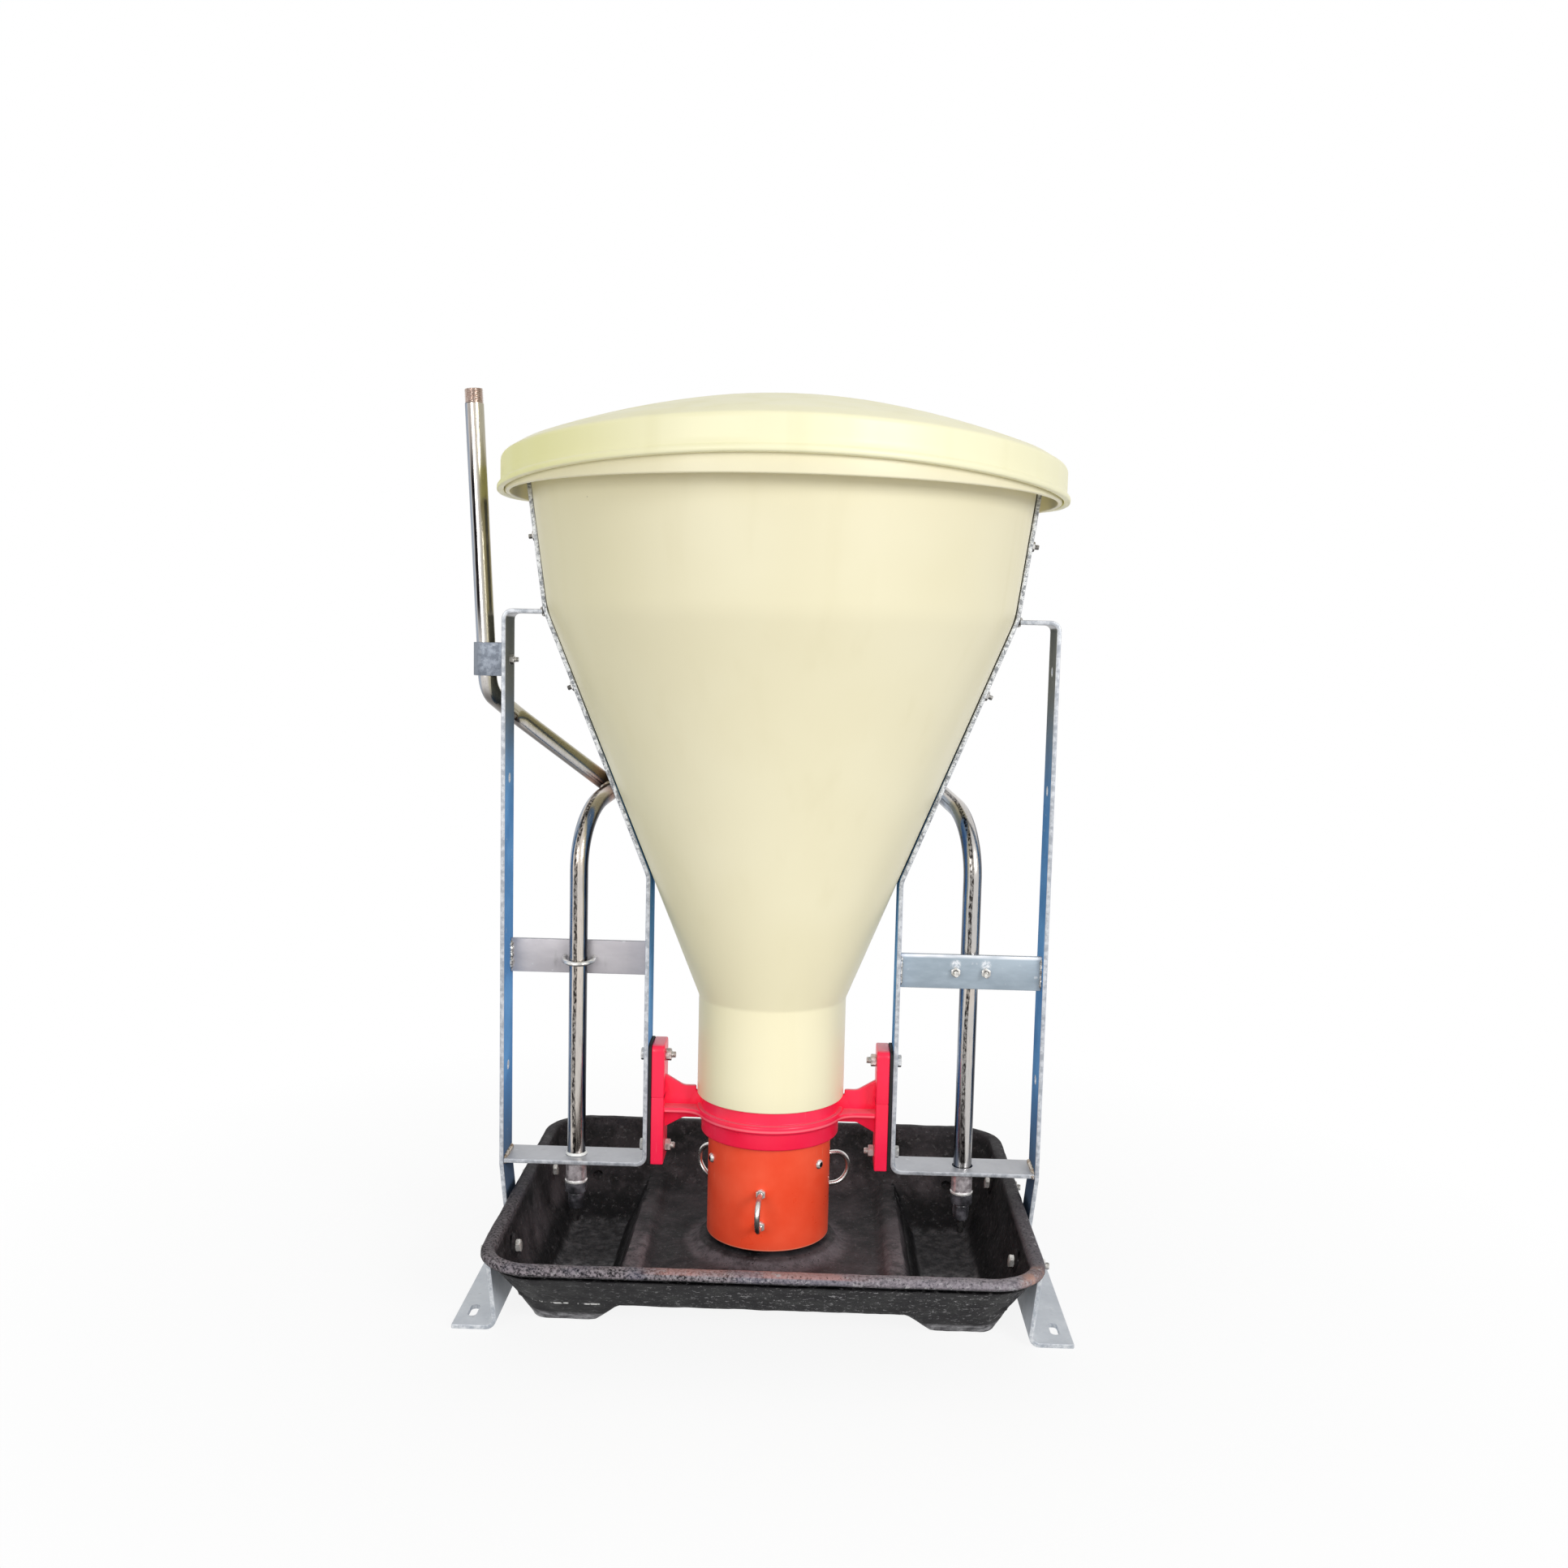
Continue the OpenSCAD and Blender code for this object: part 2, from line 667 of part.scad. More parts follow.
module trough_inside() {
    inner_r = trough_corner_r - trough_wall;
    basin_l = trough_wall_l * foot_l_share - trough_wall;
    hull() {
        trough_slab(trough_half_l - trough_lip - trough_wall, trough_half_d - trough_lip - trough_wall,
            trough_h, inner_r);
        trough_slab(inside_l(ridge_z), inside_d(ridge_z), ridge_z, inner_r);
    }
    hull() {
        trough_slab(ridge_x - ridge_w / 2, inside_d(ridge_z), ridge_z, inner_r / 2);
        trough_slab(ridge_x - ridge_w, inside_d(pan_z), pan_z, inner_r / 2);
    }
    on_both_sides() hull() {
        basin_slab(ridge_x + ridge_w / 2, inside_l(ridge_z), inside_d(ridge_z), ridge_z, inner_r / 2);
        basin_slab(ridge_x + ridge_w / 2 + basin_slope_w, basin_l, inside_d(trough_floor), trough_floor,
            inner_r / 2);
    }
}

module trough() {
    recess = [
        [-foot_in_x, -overrun], [basin_slope_w - foot_in_x, underside_z],
        [foot_in_x - basin_slope_w, underside_z], [foot_in_x, -overrun]
    ];
    color(black) {
        difference() {
            union() {
                difference() {
                    trough_outside();
                    trough_inside();
                }
                on_both_sides() for (y = [-1, 1]) at_trough_bolt(y)
                    translate([0, 0, seat_gap]) cylinder(h = trough_pad_h, r = trough_pad_r);
            }
            rotate([90, 0, 0]) linear_extrude(2 * trough_half_d, center = true) polygon(recess);
            on_both_sides() for (y = [-1, 1]) at_trough_bolt(y) rotate([0, 0, 90])
                translate([0, 0, -overrun]) slot(trough_slot_l, m8[0] + 2 * bolt_play, 4 * trough_pad_h);
            for (x = [-1, 1]) translate([x * wash_hole_x, inside_d(wash_hole_z) - trough_wall, wash_hole_z])
                rotate([-90, 0, 0]) cylinder(h = trough_half_d, d = wash_hole_d);
        }
        translate([0, 0, pan_z - overrun])
            cylinder(h = mound_z - pan_z + overrun, r1 = mound_r + mound_flare, r2 = mound_r);
    }
}

module trough_bolts() {
    color(stainless) on_both_sides() for (y = [-1, 1]) at_trough_bolt(y)
        translate([0, 0, trough_pad_h + 2 * seat_gap]) rotate([180, 0, 0])
            hex_bolt(m8, trough_pad_h + bar_t + m8[3] + bolt_end);
}

module trough_nuts() {
    color(stainless) on_both_sides() for (y = [-1, 1]) at_trough_bolt(y)
        translate([0, 0, -bar_t - seat_gap]) rotate([180, 0, 0]) hex_nut(m8);
}

// Hopper and lid
module hopper() {
    outline = [
        [neck_r, neck_bottom_z], [neck_r, neck_top_z], [break_r, break_z],
        [hopper_r(rim_top_z - hopper_wall), rim_top_z - hopper_wall],
        [rim_r - hopper_wall, rim_top_z - hopper_wall], [rim_r - hopper_wall, rim_top_z - rim_drop],
        [rim_r, rim_top_z - rim_drop], [rim_r, rim_top_z], [hopper_top_r - hopper_wall, rim_top_z],
        [break_r - hopper_wall, break_z], [neck_r - hopper_wall, neck_top_z],
        [neck_r - hopper_wall, neck_bottom_z]
    ];
    color(cream) difference() {
        rotate_extrude($fn = 120) polygon(outline);
        on_both_sides() for (z = hopper_bolt_z) at_hopper_bolt(z)
            translate([0, 0, -2 * hopper_wall]) cylinder(h = 3 * hopper_wall, d = m6[0] + 2 * bolt_play);
    }
}

// Rows of the lid's outside, moved in by its thickness for the inside
function dome_z(share) = lid_shoulder_z + lid_dome_h * (1 - pow(share, lid_dome_power));
function lid_outside(inset) = concat(
    [for (share = lid_dome_shares) [share * lid_wall_r, dome_z(share) - inset]],
    arc([lid_wall_r - lid_shoulder_r, lid_shoulder_z - lid_shoulder_r],
        lid_shoulder_r - inset, lid_shoulder_angle, 0, lid_shoulder_steps),
    [
        [lid_wall_r - inset, lid_lip_z + lid_lip_h],
        [lid_r - inset, lid_lip_z + lid_lip_h / 2],
        [lid_r - inset, lid_lip_z]
    ]
);

// The soft lid hangs lower at its sides and higher at its front and back
function droop(r, angle) = -lid_sag * cos(2 * angle) * pow(r / lid_r, 2);

module hopper_lid() {
    rows = concat(lid_outside(0), backwards(lid_outside(lid_t)));
    count = len(rows);
    top = count * lid_steps;
    last = (count - 1) * lid_steps;
    points = concat(
        [for (p = rows, k = [0:lid_steps - 1]) let (angle = 360 * k / lid_steps)
            [p[0] * cos(angle), p[0] * sin(angle), p[1] + droop(p[0], angle)]],
        [[0, 0, dome_z(0)], [0, 0, dome_z(0) - lid_t]]
    );
    faces = concat(
        [for (i = [0:count - 2], k = [0:lid_steps - 1]) let (n = (k + 1) % lid_steps)
            [i * lid_steps + k, i * lid_steps + n, (i + 1) * lid_steps + k]],
        [for (i = [0:count - 2], k = [0:lid_steps - 1]) let (n = (k + 1) % lid_steps)
            [i * lid_steps + n, (i + 1) * lid_steps + n, (i + 1) * lid_steps + k]],
        [for (k = [0:lid_steps - 1]) [top, (k + 1) % lid_steps, k]],
        [for (k = [0:lid_steps - 1]) [top + 1, last + k, last + (k + 1) % lid_steps]]
    );
    color(lid_cream) polyhedron(points, faces);
}

module hopper_bolts() {
    color(stainless) on_both_sides() for (z = hopper_bolt_z) at_hopper_bolt(z)
        translate([0, 0, -hopper_bolt_seat]) {
            translate([0, 0, -hopper_bolt_head[1]])
                cylinder(h = hopper_bolt_head[1], d = hopper_bolt_head[0]);
            cylinder(h = hopper_bolt_seat + bar_t + m6[3] + bolt_end, d = m6[0]);
        }
}

module hopper_nuts() {
    color(stainless) on_both_sides() for (z = hopper_bolt_z) at_hopper_bolt(z)
        translate([0, 0, bar_t + slip_gap + seat_gap]) hex_nut(m6);
}

// Collar that carries the feed tube between the inner legs
module collar_ring() {
    rotate_extrude($fn = 96) {
        translate([ring_bore_r, collar_z - ring_down]) square([ring_r - ring_bore_r, ring_down + ring_up]);
        translate([ring_bore_r, collar_z - bead_h / 2]) square([bead_r - bead_h / 2 - ring_bore_r, bead_h]);
        translate([bead_r - bead_h / 2, collar_z]) circle(d = bead_h);
    }
}

// Level web of one arm, flared into the ring by a fillet on both edges
module collar_web() {
    fillet_x = sqrt(pow(bead_r + web_fillet_r, 2) - pow(web_half_w + web_fillet_r, 2));
    fillet = [fillet_x, web_half_w + web_fillet_r];
    touch = fillet * bead_r / (bead_r + web_fillet_r);
    translate([0, 0, collar_z - web_t / 2]) linear_extrude(web_t) {
        translate([0, -web_half_w]) square([plate_x - plate_t / 2, 2 * web_half_w]);
        for (y = [0, 1]) mirror([0, y]) difference() {
            polygon([[0, 0], [fillet_x, web_half_w], fillet, touch]);
            translate(fillet) circle(web_fillet_r);
        }
    }
}

module collar_rib() {
    knee_x = bead_r + (plate_in_x - bead_r) * rib_knee_share;
    z = [for (share = rib_z_shares) collar_z + share * rib_span];
    rotate([90, 0, 0]) linear_extrude(rib_t, center = true) polygon([
        [ring_bore_r, z[2]], [knee_x, z[2]], [plate_in_x, z[0]], [plate_x - plate_t / 2, z[0]],
        [plate_x - plate_t / 2, z[1]], [plate_in_x, z[1]], [knee_x, z[3]], [ring_bore_r, z[3]]
    ]);
}

module collar_plate_outline() {
    half_w = plate_w / 2;
    r = plate_corner_r;
    translate([plate_bottom_z, -half_w]) square([plate_h - r, plate_w]);
    translate([plate_bottom_z, -half_w + r]) square([plate_h, plate_w - 2 * r]);
    for (y = [-1, 1]) translate([plate_top_z - r, y * (half_w - r)]) circle(r);
}

// Plate in the YZ plane, from its inner face outward
module collar_plate(x, t) {
    difference() {
        translate([x, 0, 0]) rotate([0, -90, 0]) mirror([0, 0, 1]) linear_extrude(t) collar_plate_outline();
        for (z = collar_bolt_z) translate([x - overrun, 0, z]) rotate([0, 90, 0])
            cylinder(h = t + 2 * overrun, d = m8[0] + 2 * bolt_play);
    }
}

module support_collar() {
    color(red) difference() {
        union() {
            collar_ring();
            on_both_sides() {
                collar_web();
                collar_rib();
                collar_plate(plate_in_x, plate_t);
            }
        }
        translate([0, 0, plate_bottom_z]) cylinder(h = plate_h, r = ring_bore_r, $fn = 96);
        translate([0, 0, neck_bottom_z - run_gap]) difference() {
            cylinder(h = plate_h, r = neck_r + run_gap);
            translate([0, 0, -overrun]) cylinder(h = plate_h + 2 * overrun, r = ring_r);
        }
    }
}

module collar_pad(left) {
    color(rubber_black) on_side(left) collar_plate(plate_x + seat_gap, pad_t - 2 * seat_gap);
}

module collar_bolts() {
    color(stainless) on_both_sides() for (z = collar_bolt_z)
        translate([inner_leg_x + bar_t + seat_gap, 0, z]) rotate([0, -90, 0])
            hex_bolt(m8, bar_t + pad_t + plate_t + m8[3] + bolt_end);
}

module collar_nuts() {
    color(stainless) on_both_sides() for (z = collar_bolt_z)
        translate([plate_in_x - seat_gap, 0, z]) rotate([0, -90, 0]) hex_nut(m8);
}

// Feed tube and what turns with it
module drop_tube() {
    color(orange) difference() {
        translate([0, 0, tube_bottom_z]) cylinder(h = tube_l, r = tube_r, $fn = 96);
        translate([0, 0, tube_bottom_z - overrun])
            cylinder(h = tube_l + 2 * overrun, r = tube_in_r, $fn = 96);
        for (i = [0 : 2]) around([handle_places[i]]) for (z = [-1, 1])
            translate([tube_in_r - tube_wall, 0, handle_levels[i] + z * handle_spacing / 2]) rotate([0, 90, 0])
                cylinder(h = 3 * tube_wall, d = handle_rod_d + bolt_play);
        around(screw_places) translate([tube_in_r - tube_wall, 0, screw_z]) rotate([0, 90, 0])
            cylinder(h = 3 * tube_wall, d = m6[0] + bolt_play);
    }
}

module tube_handle(i) {
    bow_r = handle_spacing / 2;
    bow_x = tube_r + handle_reach - bow_r - handle_rod_d / 2;
    color(stainless) around([handle_places[i]]) translate([0, 0, handle_levels[i]]) {
        for (z = [-1, 1]) translate([tube_r - handle_tail, 0, z * bow_r]) rotate([0, 90, 0])
            cylinder(h = bow_x - tube_r + handle_tail, d = handle_rod_d);
        translate([bow_x, 0, 0]) rotate([90, 0, 0]) rotate([0, 0, -90])
            rotate_extrude(angle = 180) translate([bow_r, 0]) circle(d = handle_rod_d);
    }
}

module handle_nuts() {
    inner_x = sqrt(pow(tube_in_r, 2) - pow(m6[1] / 2 / cos(30), 2)) - seat_gap;
    color(stainless) for (i = [0 : 2]) around([handle_places[i]]) for (side = [-1, 1])
    translate([0, 0, handle_levels[i] + side * handle_spacing / 2]) {
        translate([tube_r + seat_gap, 0, 0]) rotate([0, 90, 0]) hex_nut(m6);
        translate([inner_x, 0, 0]) rotate([0, -90, 0]) hex_nut(m6);
    }
}

module tube_spider() {
    arm_l = sqrt(pow(tube_in_r, 2) - pow(spider_arm_t / 2, 2)) - seat_gap;
    hub_r = spider_hub_d / 2;
    color(zinc) translate([0, 0, screw_z]) difference() {
        union() {
            cylinder(h = spider_h, r = hub_r, center = true);
            around(screw_places) translate([hub_r / 2, -spider_arm_t / 2, -spider_arm_h / 2])
                cube([arm_l - hub_r / 2, spider_arm_t, spider_arm_h]);
        }
        cylinder(h = spider_h + 2 * overrun, d = hanger_rod_d + 2 * shaft_play, center = true);
        around(screw_places) translate([tube_r - screw_l - overrun, 0, 0]) rotate([0, 90, 0])
            cylinder(h = screw_l + 2 * overrun, d = m6[0] + 2 * seat_gap);
    }
}

module spider_screws() {
    color(stainless) around(screw_places) translate([tube_r, 0, screw_z]) rotate([0, 90, 0]) {
        translate([0, 0, seat_gap]) cylinder(h = button_head[1], d1 = button_head[0], d2 = m6[0]);
        translate([0, 0, -screw_l]) cylinder(h = screw_l + button_head[1] / 2, d = m6[0]);
    }
}

// Hanger: a rod with nuts, hung from a flat bar that rests in the hopper's cone
module hanger_rod() {
    color(stainless) translate([0, 0, hanger_rod_z])
        cylinder(h = hanger_rod_top - hanger_rod_z, d = hanger_rod_d);
}

module hanger_bar() {
    inside_r = hopper_r(hanger_bar_z) - hopper_wall - slip_gap;
    color(zinc) translate([0, 0, hanger_bar_z]) difference() {
        intersection() {
            translate([-hopper_top_r, -hanger_bar_w / 2, 0])
                cube([2 * hopper_top_r, hanger_bar_w, hanger_bar_t]);
            cylinder(h = hanger_bar_t, r1 = inside_r, r2 = inside_r + hanger_bar_t * cone_slope, $fn = 96);
        }
        translate([0, 0, -overrun])
            cylinder(h = hanger_bar_t + 2 * overrun, d = hanger_rod_d + 2 * shaft_play);
    }
}

module hanger_washer() {
    color(stainless) translate([0, 0, hanger_bar_top + run_gap]) difference() {
        cylinder(h = hanger_washer[1] - run_gap, d = hanger_washer[0]);
        translate([0, 0, -overrun])
            cylinder(h = hanger_washer[1] + 2 * overrun, d = hanger_rod_d + 2 * seat_gap);
    }
}

module hanger_top_nut() {
    color(stainless) translate([0, 0, hanger_bar_top + hanger_washer[1] + seat_gap]) hex_nut(hanger_nut);
}

module hanger_foot_nut() {
    color(stainless) translate([0, 0, foot_nut_z]) hex_nut(hanger_nut);
}

// Water pipe, inlet and their fixings
module water_pipe() {
    color(stainless) swept_tube(water_route, pipe_bend_r, pipe_r, pipe_in_r);
}

module inlet_pipe() {
    down = unit(inlet_route[1] - inlet_route[0]);
    straight_l = norm(inlet_route[1] - inlet_route[0]) - inlet_drop;
    swept_route = concat(
        [inlet_route[0] + down * (straight_l - pipe_d)],
        [for (i = [1:len(inlet_route) - 1]) inlet_route[i]]
    );
    color(stainless) difference() {
        union() {
            translate(inlet_route[0]) along(down) difference() {
                union() {
                    cylinder(h = straight_l, d = inlet_thread_d);
                    translate([0, 0, inlet_thread_l]) cylinder(h = straight_l - inlet_thread_l, r = pipe_r);
                }
                translate([0, 0, -overrun]) cylinder(h = straight_l + 2 * overrun, r = pipe_in_r);
            }
            swept_tube(swept_route, inlet_bend_r, pipe_r - seat_gap,
                (pipe_in_r + seat_gap) / cos(180 / pipe_sides));
        }
        translate(water_route[1]) along(water_route[2] - water_route[1])
            cylinder(h = norm(water_route[2] - water_route[1]), r = pipe_r + seat_gap);
    }
}

// Strap around the inlet pipe, with its flat base on the leg's outer face
module clamp_outline(r, back) {
    circle(r);
    translate([0, -r]) square([inlet_stand - back, 2 * r]);
}

module inlet_clamp() {
    color(zinc) translate([-inlet_x, 0, inlet_clamp_z]) difference() {
        translate([0, 0, -clamp_h / 2]) linear_extrude(clamp_h) difference() {
            clamp_outline(clamp_r, seat_gap);
            clamp_outline(clamp_in_r, clamp_t + seat_gap);
        }
        rotate([0, 90, 0]) cylinder(h = inlet_stand + overrun, d = m6[0] + 2 * bolt_play);
    }
}

module inlet_clamp_bolt() {
    color(stainless) translate([-leg_x - clamp_t - 2 * seat_gap, 0, inlet_clamp_z]) rotate([0, 90, 0])
        hex_bolt(m6, clamp_t + bar_t + m6[3] + bolt_end);
}

module inlet_clamp_nut() {
    color(stainless) translate([-leg_in_x + seat_gap, 0, inlet_clamp_z]) rotate([0, 90, 0]) hex_nut(m6);
}

module u_bolt(left) {
    tail_y = cross_bar_y + bar_t + m6[3] + u_tail / 2;
    color(stainless) on_side(left) translate([drinker_x, -u_centre_y, u_z]) {
        rotate_extrude(angle = 180) translate([u_leg, 0]) circle(d = u_rod_d);
        for (x = [-u_leg, u_leg]) translate([x, 0, 0]) rotate([90, 0, 0])
            cylinder(h = tail_y - u_centre_y, d = u_rod_d);
    }
}

module u_bolt_nuts() {
    color(stainless) on_both_sides() for (x = [-u_leg, u_leg])
        translate([drinker_x + x, -cross_bar_y - bar_t - seat_gap, u_z]) rotate([90, 0, 0]) hex_nut(u_nut);
}

// Drinkers
module at_drinker(left) {
    on_side(left) translate([drinker_x, 0, 0]) children();
}

module pipe_coupling(left) {
    color(stainless) at_drinker(left) difference() {
        translate([0, 0, coupling_bottom_z]) cylinder(h = coupling_l, d = coupling_d);
        translate([0, 0, pipe_end_z - seat_gap]) cylinder(h = coupling_l, r = pipe_r + seat_gap);
        translate([0, 0, coupling_bottom_z - overrun])
            cylinder(h = coupling_l, r = drinker_thread_r + seat_gap);
    }
}

module drinker_body(left) {
    color(black) at_drinker(left) difference() {
        union() {
            translate([0, 0, drinker_hex_z]) hexagon(drinker_af, drinker_hex_h - seat_gap);
            translate([0, 0, drinker_nose_z]) cylinder(h = drinker_nose_l + overrun, d = drinker_nose_d);
            translate([0, 0, drinker_hex_z])
                cylinder(h = drinker_top_z - drinker_hex_z, r = drinker_thread_r);
        }
        translate([0, 0, drinker_seat_z])
            cylinder(h = drinker_top_z - drinker_lip - drinker_seat_z, r = drinker_bore_r);
        translate([0, 0, drinker_seat_z]) cylinder(h = drinker_top_z, r = drinker_lip_r);
        translate([0, 0, drinker_nose_z - overrun])
            cylinder(h = drinker_seat_up + 2 * overrun, r = drinker_hole_r);
    }
}

module drinker_seal(left) {
    color(rubber_black) at_drinker(left) translate([0, 0, drinker_seat_z]) difference() {
        cylinder(h = drinker_seal_t, r = drinker_bore_r - seat_gap);
        translate([0, 0, -overrun]) cylinder(h = drinker_seal_t + 2 * overrun, r = drinker_hole_r);
    }
}

module drinker_pin(left) {
    head_z = drinker_seat_z + drinker_seal_t + seat_gap;
    tip_z = drinker_nose_z - drinker_pin_out;
    color(stainless) at_drinker(left) {
        translate([0, 0, head_z]) cylinder(h = pin_head_t, r = pin_head_r);
        translate([0, 0, tip_z]) cylinder(h = head_z - tip_z + pin_head_t / 2, d = drinker_pin_d);
    }
}

// Coil of the return spring: rings of points along a helix, joined by faces
module drinker_spring(left) {
    rings = spring_turns * spring_steps;
    points = [
        for (i = [0:rings], k = [0:spring_sides - 1])
            let (
                angle = 360 * i / spring_steps,
                around = 360 * k / spring_sides,
                r = spring_r + spring_wire_r * cos(around)
            )
            [r * cos(angle), r * sin(angle),
                spring_z + (spring_top_z - spring_z) * i / rings + spring_wire_r * sin(around)]
    ];
    faces = concat(
        [for (i = [0:rings - 1], k = [0:spring_sides - 1]) let (n = (k + 1) % spring_sides)
            each skin(i * spring_sides + k, (i + 1) * spring_sides + k,
                (i + 1) * spring_sides + n, i * spring_sides + n)],
        [[for (k = [0:spring_sides - 1]) k]],
        [[for (k = [spring_sides - 1:-1:0]) rings * spring_sides + k]]
    );
    color(stainless) at_drinker(left) polyhedron(points, faces);
}

base_rail(true);  // base_rail_left
base_rail(false);  // base_rail_right
outer_leg(true);  // outer_leg_left
outer_leg(false);  // outer_leg_right
hopper_strap(true);  // hopper_strap_left
hopper_strap(false);  // hopper_strap_right
cross_bar(true);  // cross_bar_left
cross_bar(false);  // cross_bar_right
trough();
trough_bolts();
trough_nuts();
hopper();
hopper_lid();
hopper_bolts();
hopper_nuts();
support_collar();
collar_pad(true);  // collar_pad_left
collar_pad(false);  // collar_pad_right
collar_bolts();
collar_nuts();
drop_tube();
tube_handle(0);  // tube_handle_front
tube_handle(1);  // tube_handle_right
tube_handle(2);  // tube_handle_left
handle_nuts();
tube_spider();
spider_screws();
hanger_rod();
hanger_bar();
hanger_washer();
hanger_top_nut();
hanger_foot_nut();
water_pipe();
inlet_pipe();
inlet_clamp();
inlet_clamp_bolt();
inlet_clamp_nut();
u_bolt(true);  // u_bolt_left
u_bolt(false);  // u_bolt_right
u_bolt_nuts();
pipe_coupling(true);  // pipe_coupling_left
pipe_coupling(false);  // pipe_coupling_right
drinker_body(true);  // drinker_body_left
drinker_body(false);  // drinker_body_right
drinker_seal(true);  // drinker_seal_left
drinker_seal(false);  // drinker_seal_right
drinker_pin(true);  // drinker_pin_left
drinker_pin(false);  // drinker_pin_right
drinker_spring(true);  // drinker_spring_left
drinker_spring(false);  // drinker_spring_right
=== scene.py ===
"""Looks of the pig feeder: its dressed meshes, materials, light and camera."""

import math
from math import cos, hypot, radians, sin, sqrt, tan

import bmesh
import bpy
from mathutils import Matrix, Vector, noise


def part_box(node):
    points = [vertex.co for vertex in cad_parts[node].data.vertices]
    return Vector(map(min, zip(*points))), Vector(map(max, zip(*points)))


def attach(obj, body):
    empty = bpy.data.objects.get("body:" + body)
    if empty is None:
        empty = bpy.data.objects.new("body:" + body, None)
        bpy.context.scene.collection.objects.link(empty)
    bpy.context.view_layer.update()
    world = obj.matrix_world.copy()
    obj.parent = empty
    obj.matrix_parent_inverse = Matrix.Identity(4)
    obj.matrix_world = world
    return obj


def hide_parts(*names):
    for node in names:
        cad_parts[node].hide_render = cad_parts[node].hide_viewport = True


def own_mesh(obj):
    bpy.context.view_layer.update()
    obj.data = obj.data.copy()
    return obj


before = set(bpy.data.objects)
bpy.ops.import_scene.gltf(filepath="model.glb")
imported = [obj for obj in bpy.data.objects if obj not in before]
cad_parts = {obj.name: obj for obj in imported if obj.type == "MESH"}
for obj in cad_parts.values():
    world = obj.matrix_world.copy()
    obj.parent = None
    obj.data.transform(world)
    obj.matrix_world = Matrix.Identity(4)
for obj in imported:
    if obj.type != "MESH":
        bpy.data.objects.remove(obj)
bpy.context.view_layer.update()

MM = 0.001
TAU = 2 * math.pi

# Sizes in millimetres and angles, as the solids have them
BAR_W, BAR_T, BEND_R = 50, 5, 12
LEG_X, LEG_IN_X, LEG_KINK_Z, LEG_FOOT_Z = 316, 311, 142, 36
LEG_HOLES_Z, LEG_HOLE_D = (255, 596, 733), 9
LEAN = radians(6)
RAIL_X, RAIL_OUT_X, RAIL_L, RAIL_H = 291, 342, 300, 90
ANCHOR_X, ANCHOR_Y, ANCHOR_L, ANCHOR_W = 325, 114, 28, 10
LOWER_BAR_Z, INNER_LEG_X = 144, 142.7
CROSS_Z, CROSS_H, CROSS_Y = 365, 40, 10.7
STRAP_TOP_Z, PIPE_HOLE_R = 933, 12.25
NECK_R, NECK_Z, NECK_TOP_Z = 86, 232, 349
BREAK_R, BREAK_Z, TOP_R, RIM_R, RIM_Z, RIM_DROP, HOPPER_WALL = 264, 791, 286, 311, 953, 35, 5
LID_R, LID_WALL_R, LID_T, LID_DOME, LID_SAG, LID_WALL_H = 320, 316, 3.5, 64, 9.5, 39
LID_SHOULDER_R, LID_POWER = 7, 1.8
COLLAR_Z, RING_R, RING_BORE, BEAD_R, BEAD_H = 212, 80.8, 73.5, 86.8, 10
PLATE_X, PLATE_T, PLATE_W, PLATE_Z, PLATE_TOP, PAD_T = 138.7, 15, 48, 146.5, 289.5, 4
COLLAR_BOLTS_Z = (163, 273)
TUBE_R, TUBE_WALL, TUBE_Z, TUBE_TOP = 72, 4, 65.5, 249.5
HANDLE_Z, HANDLE_SPACING, HANDLE_REACH, HANDLE_ROD = 115.2, 38, 36, 6
SCREW_Z = 159.9
PLACES = {"front": -5, "right": 115, "left": -125}
LEVELS = {"front": HANDLE_Z, "right": HANDLE_Z + 13, "left": HANDLE_Z + 13}
SCREW_PLACES = (-65, 55, 175)
TROUGH_H, TROUGH_L, TROUGH_D, LIP_Z, LIP = 115, 300, 248, 106, 6
TROUGH_BOLT_Y, TROUGH_BOLT_Z, BOSS_R, BOSS_H, BELLY_Z = 118.5, 81, 15, 23, 42.4
PIPE_R, PIPE_IN_R, DRINKER_X, PIPE_END_Z = 10.65, 8.65, 229, 129.7
INLET_X, CLAMP_Z, CLAMP_H, CLAMP_T, CLAMP_IN_R, CLAMP_STAND = 338, 733, 38, 3, 11.75, 22
INLET_TOP, INLET_LEAN, INLET_DROP, THREAD_L, THREAD_D = 1037, radians(3), 37, 16, 20.955
U_Z, U_LEG, U_ROD, U_OFF = 385, 17.5, 5.5, 4.05
COUPLING_R, COUPLING_Z, COUPLING_TOP = 13.5, 115.7, 143.7
DRINKER_AF, DRINKER_HEX_Z, NOSE_R, NOSE_Z, PIN_R, PIN_Z = 24, 103.7, 9.5, 83.7, 4, 66.7
PIN_HEAD_Z, PIN_HEAD_H, PIN_HEAD_R = 91, 2.8, 6
PIN_PUSH, SPRING_R, SPRING_WIRE_R, SPRING_TURNS = 3, 5, 0.5, 6
M6, M8 = (6, 10, 4, 5), (8, 13, 5.5, 6.5)  # diameter, width over flats, height of head, height of nut
BOLT_END, SEAT = 5, 0.05
WASH_X, WASH_Z, WASH_R = 228, 52, 6.5
PIPE_BEND_Z, PIPE_BACK_Y, PIPE_BACK_Z = 556, 230, 602

# What only the scene has: rounded edges of bars, the seam in the collar's plates, the thread's pitch,
# the angle at which the U-bolts hang in front and the height of the smears above their nuts
BAR_EDGE, SEAM_Z, THREAD_PITCH = 0.7, 227, 1.814
U_HANG, SMEAR_UP = radians(9), 8.5

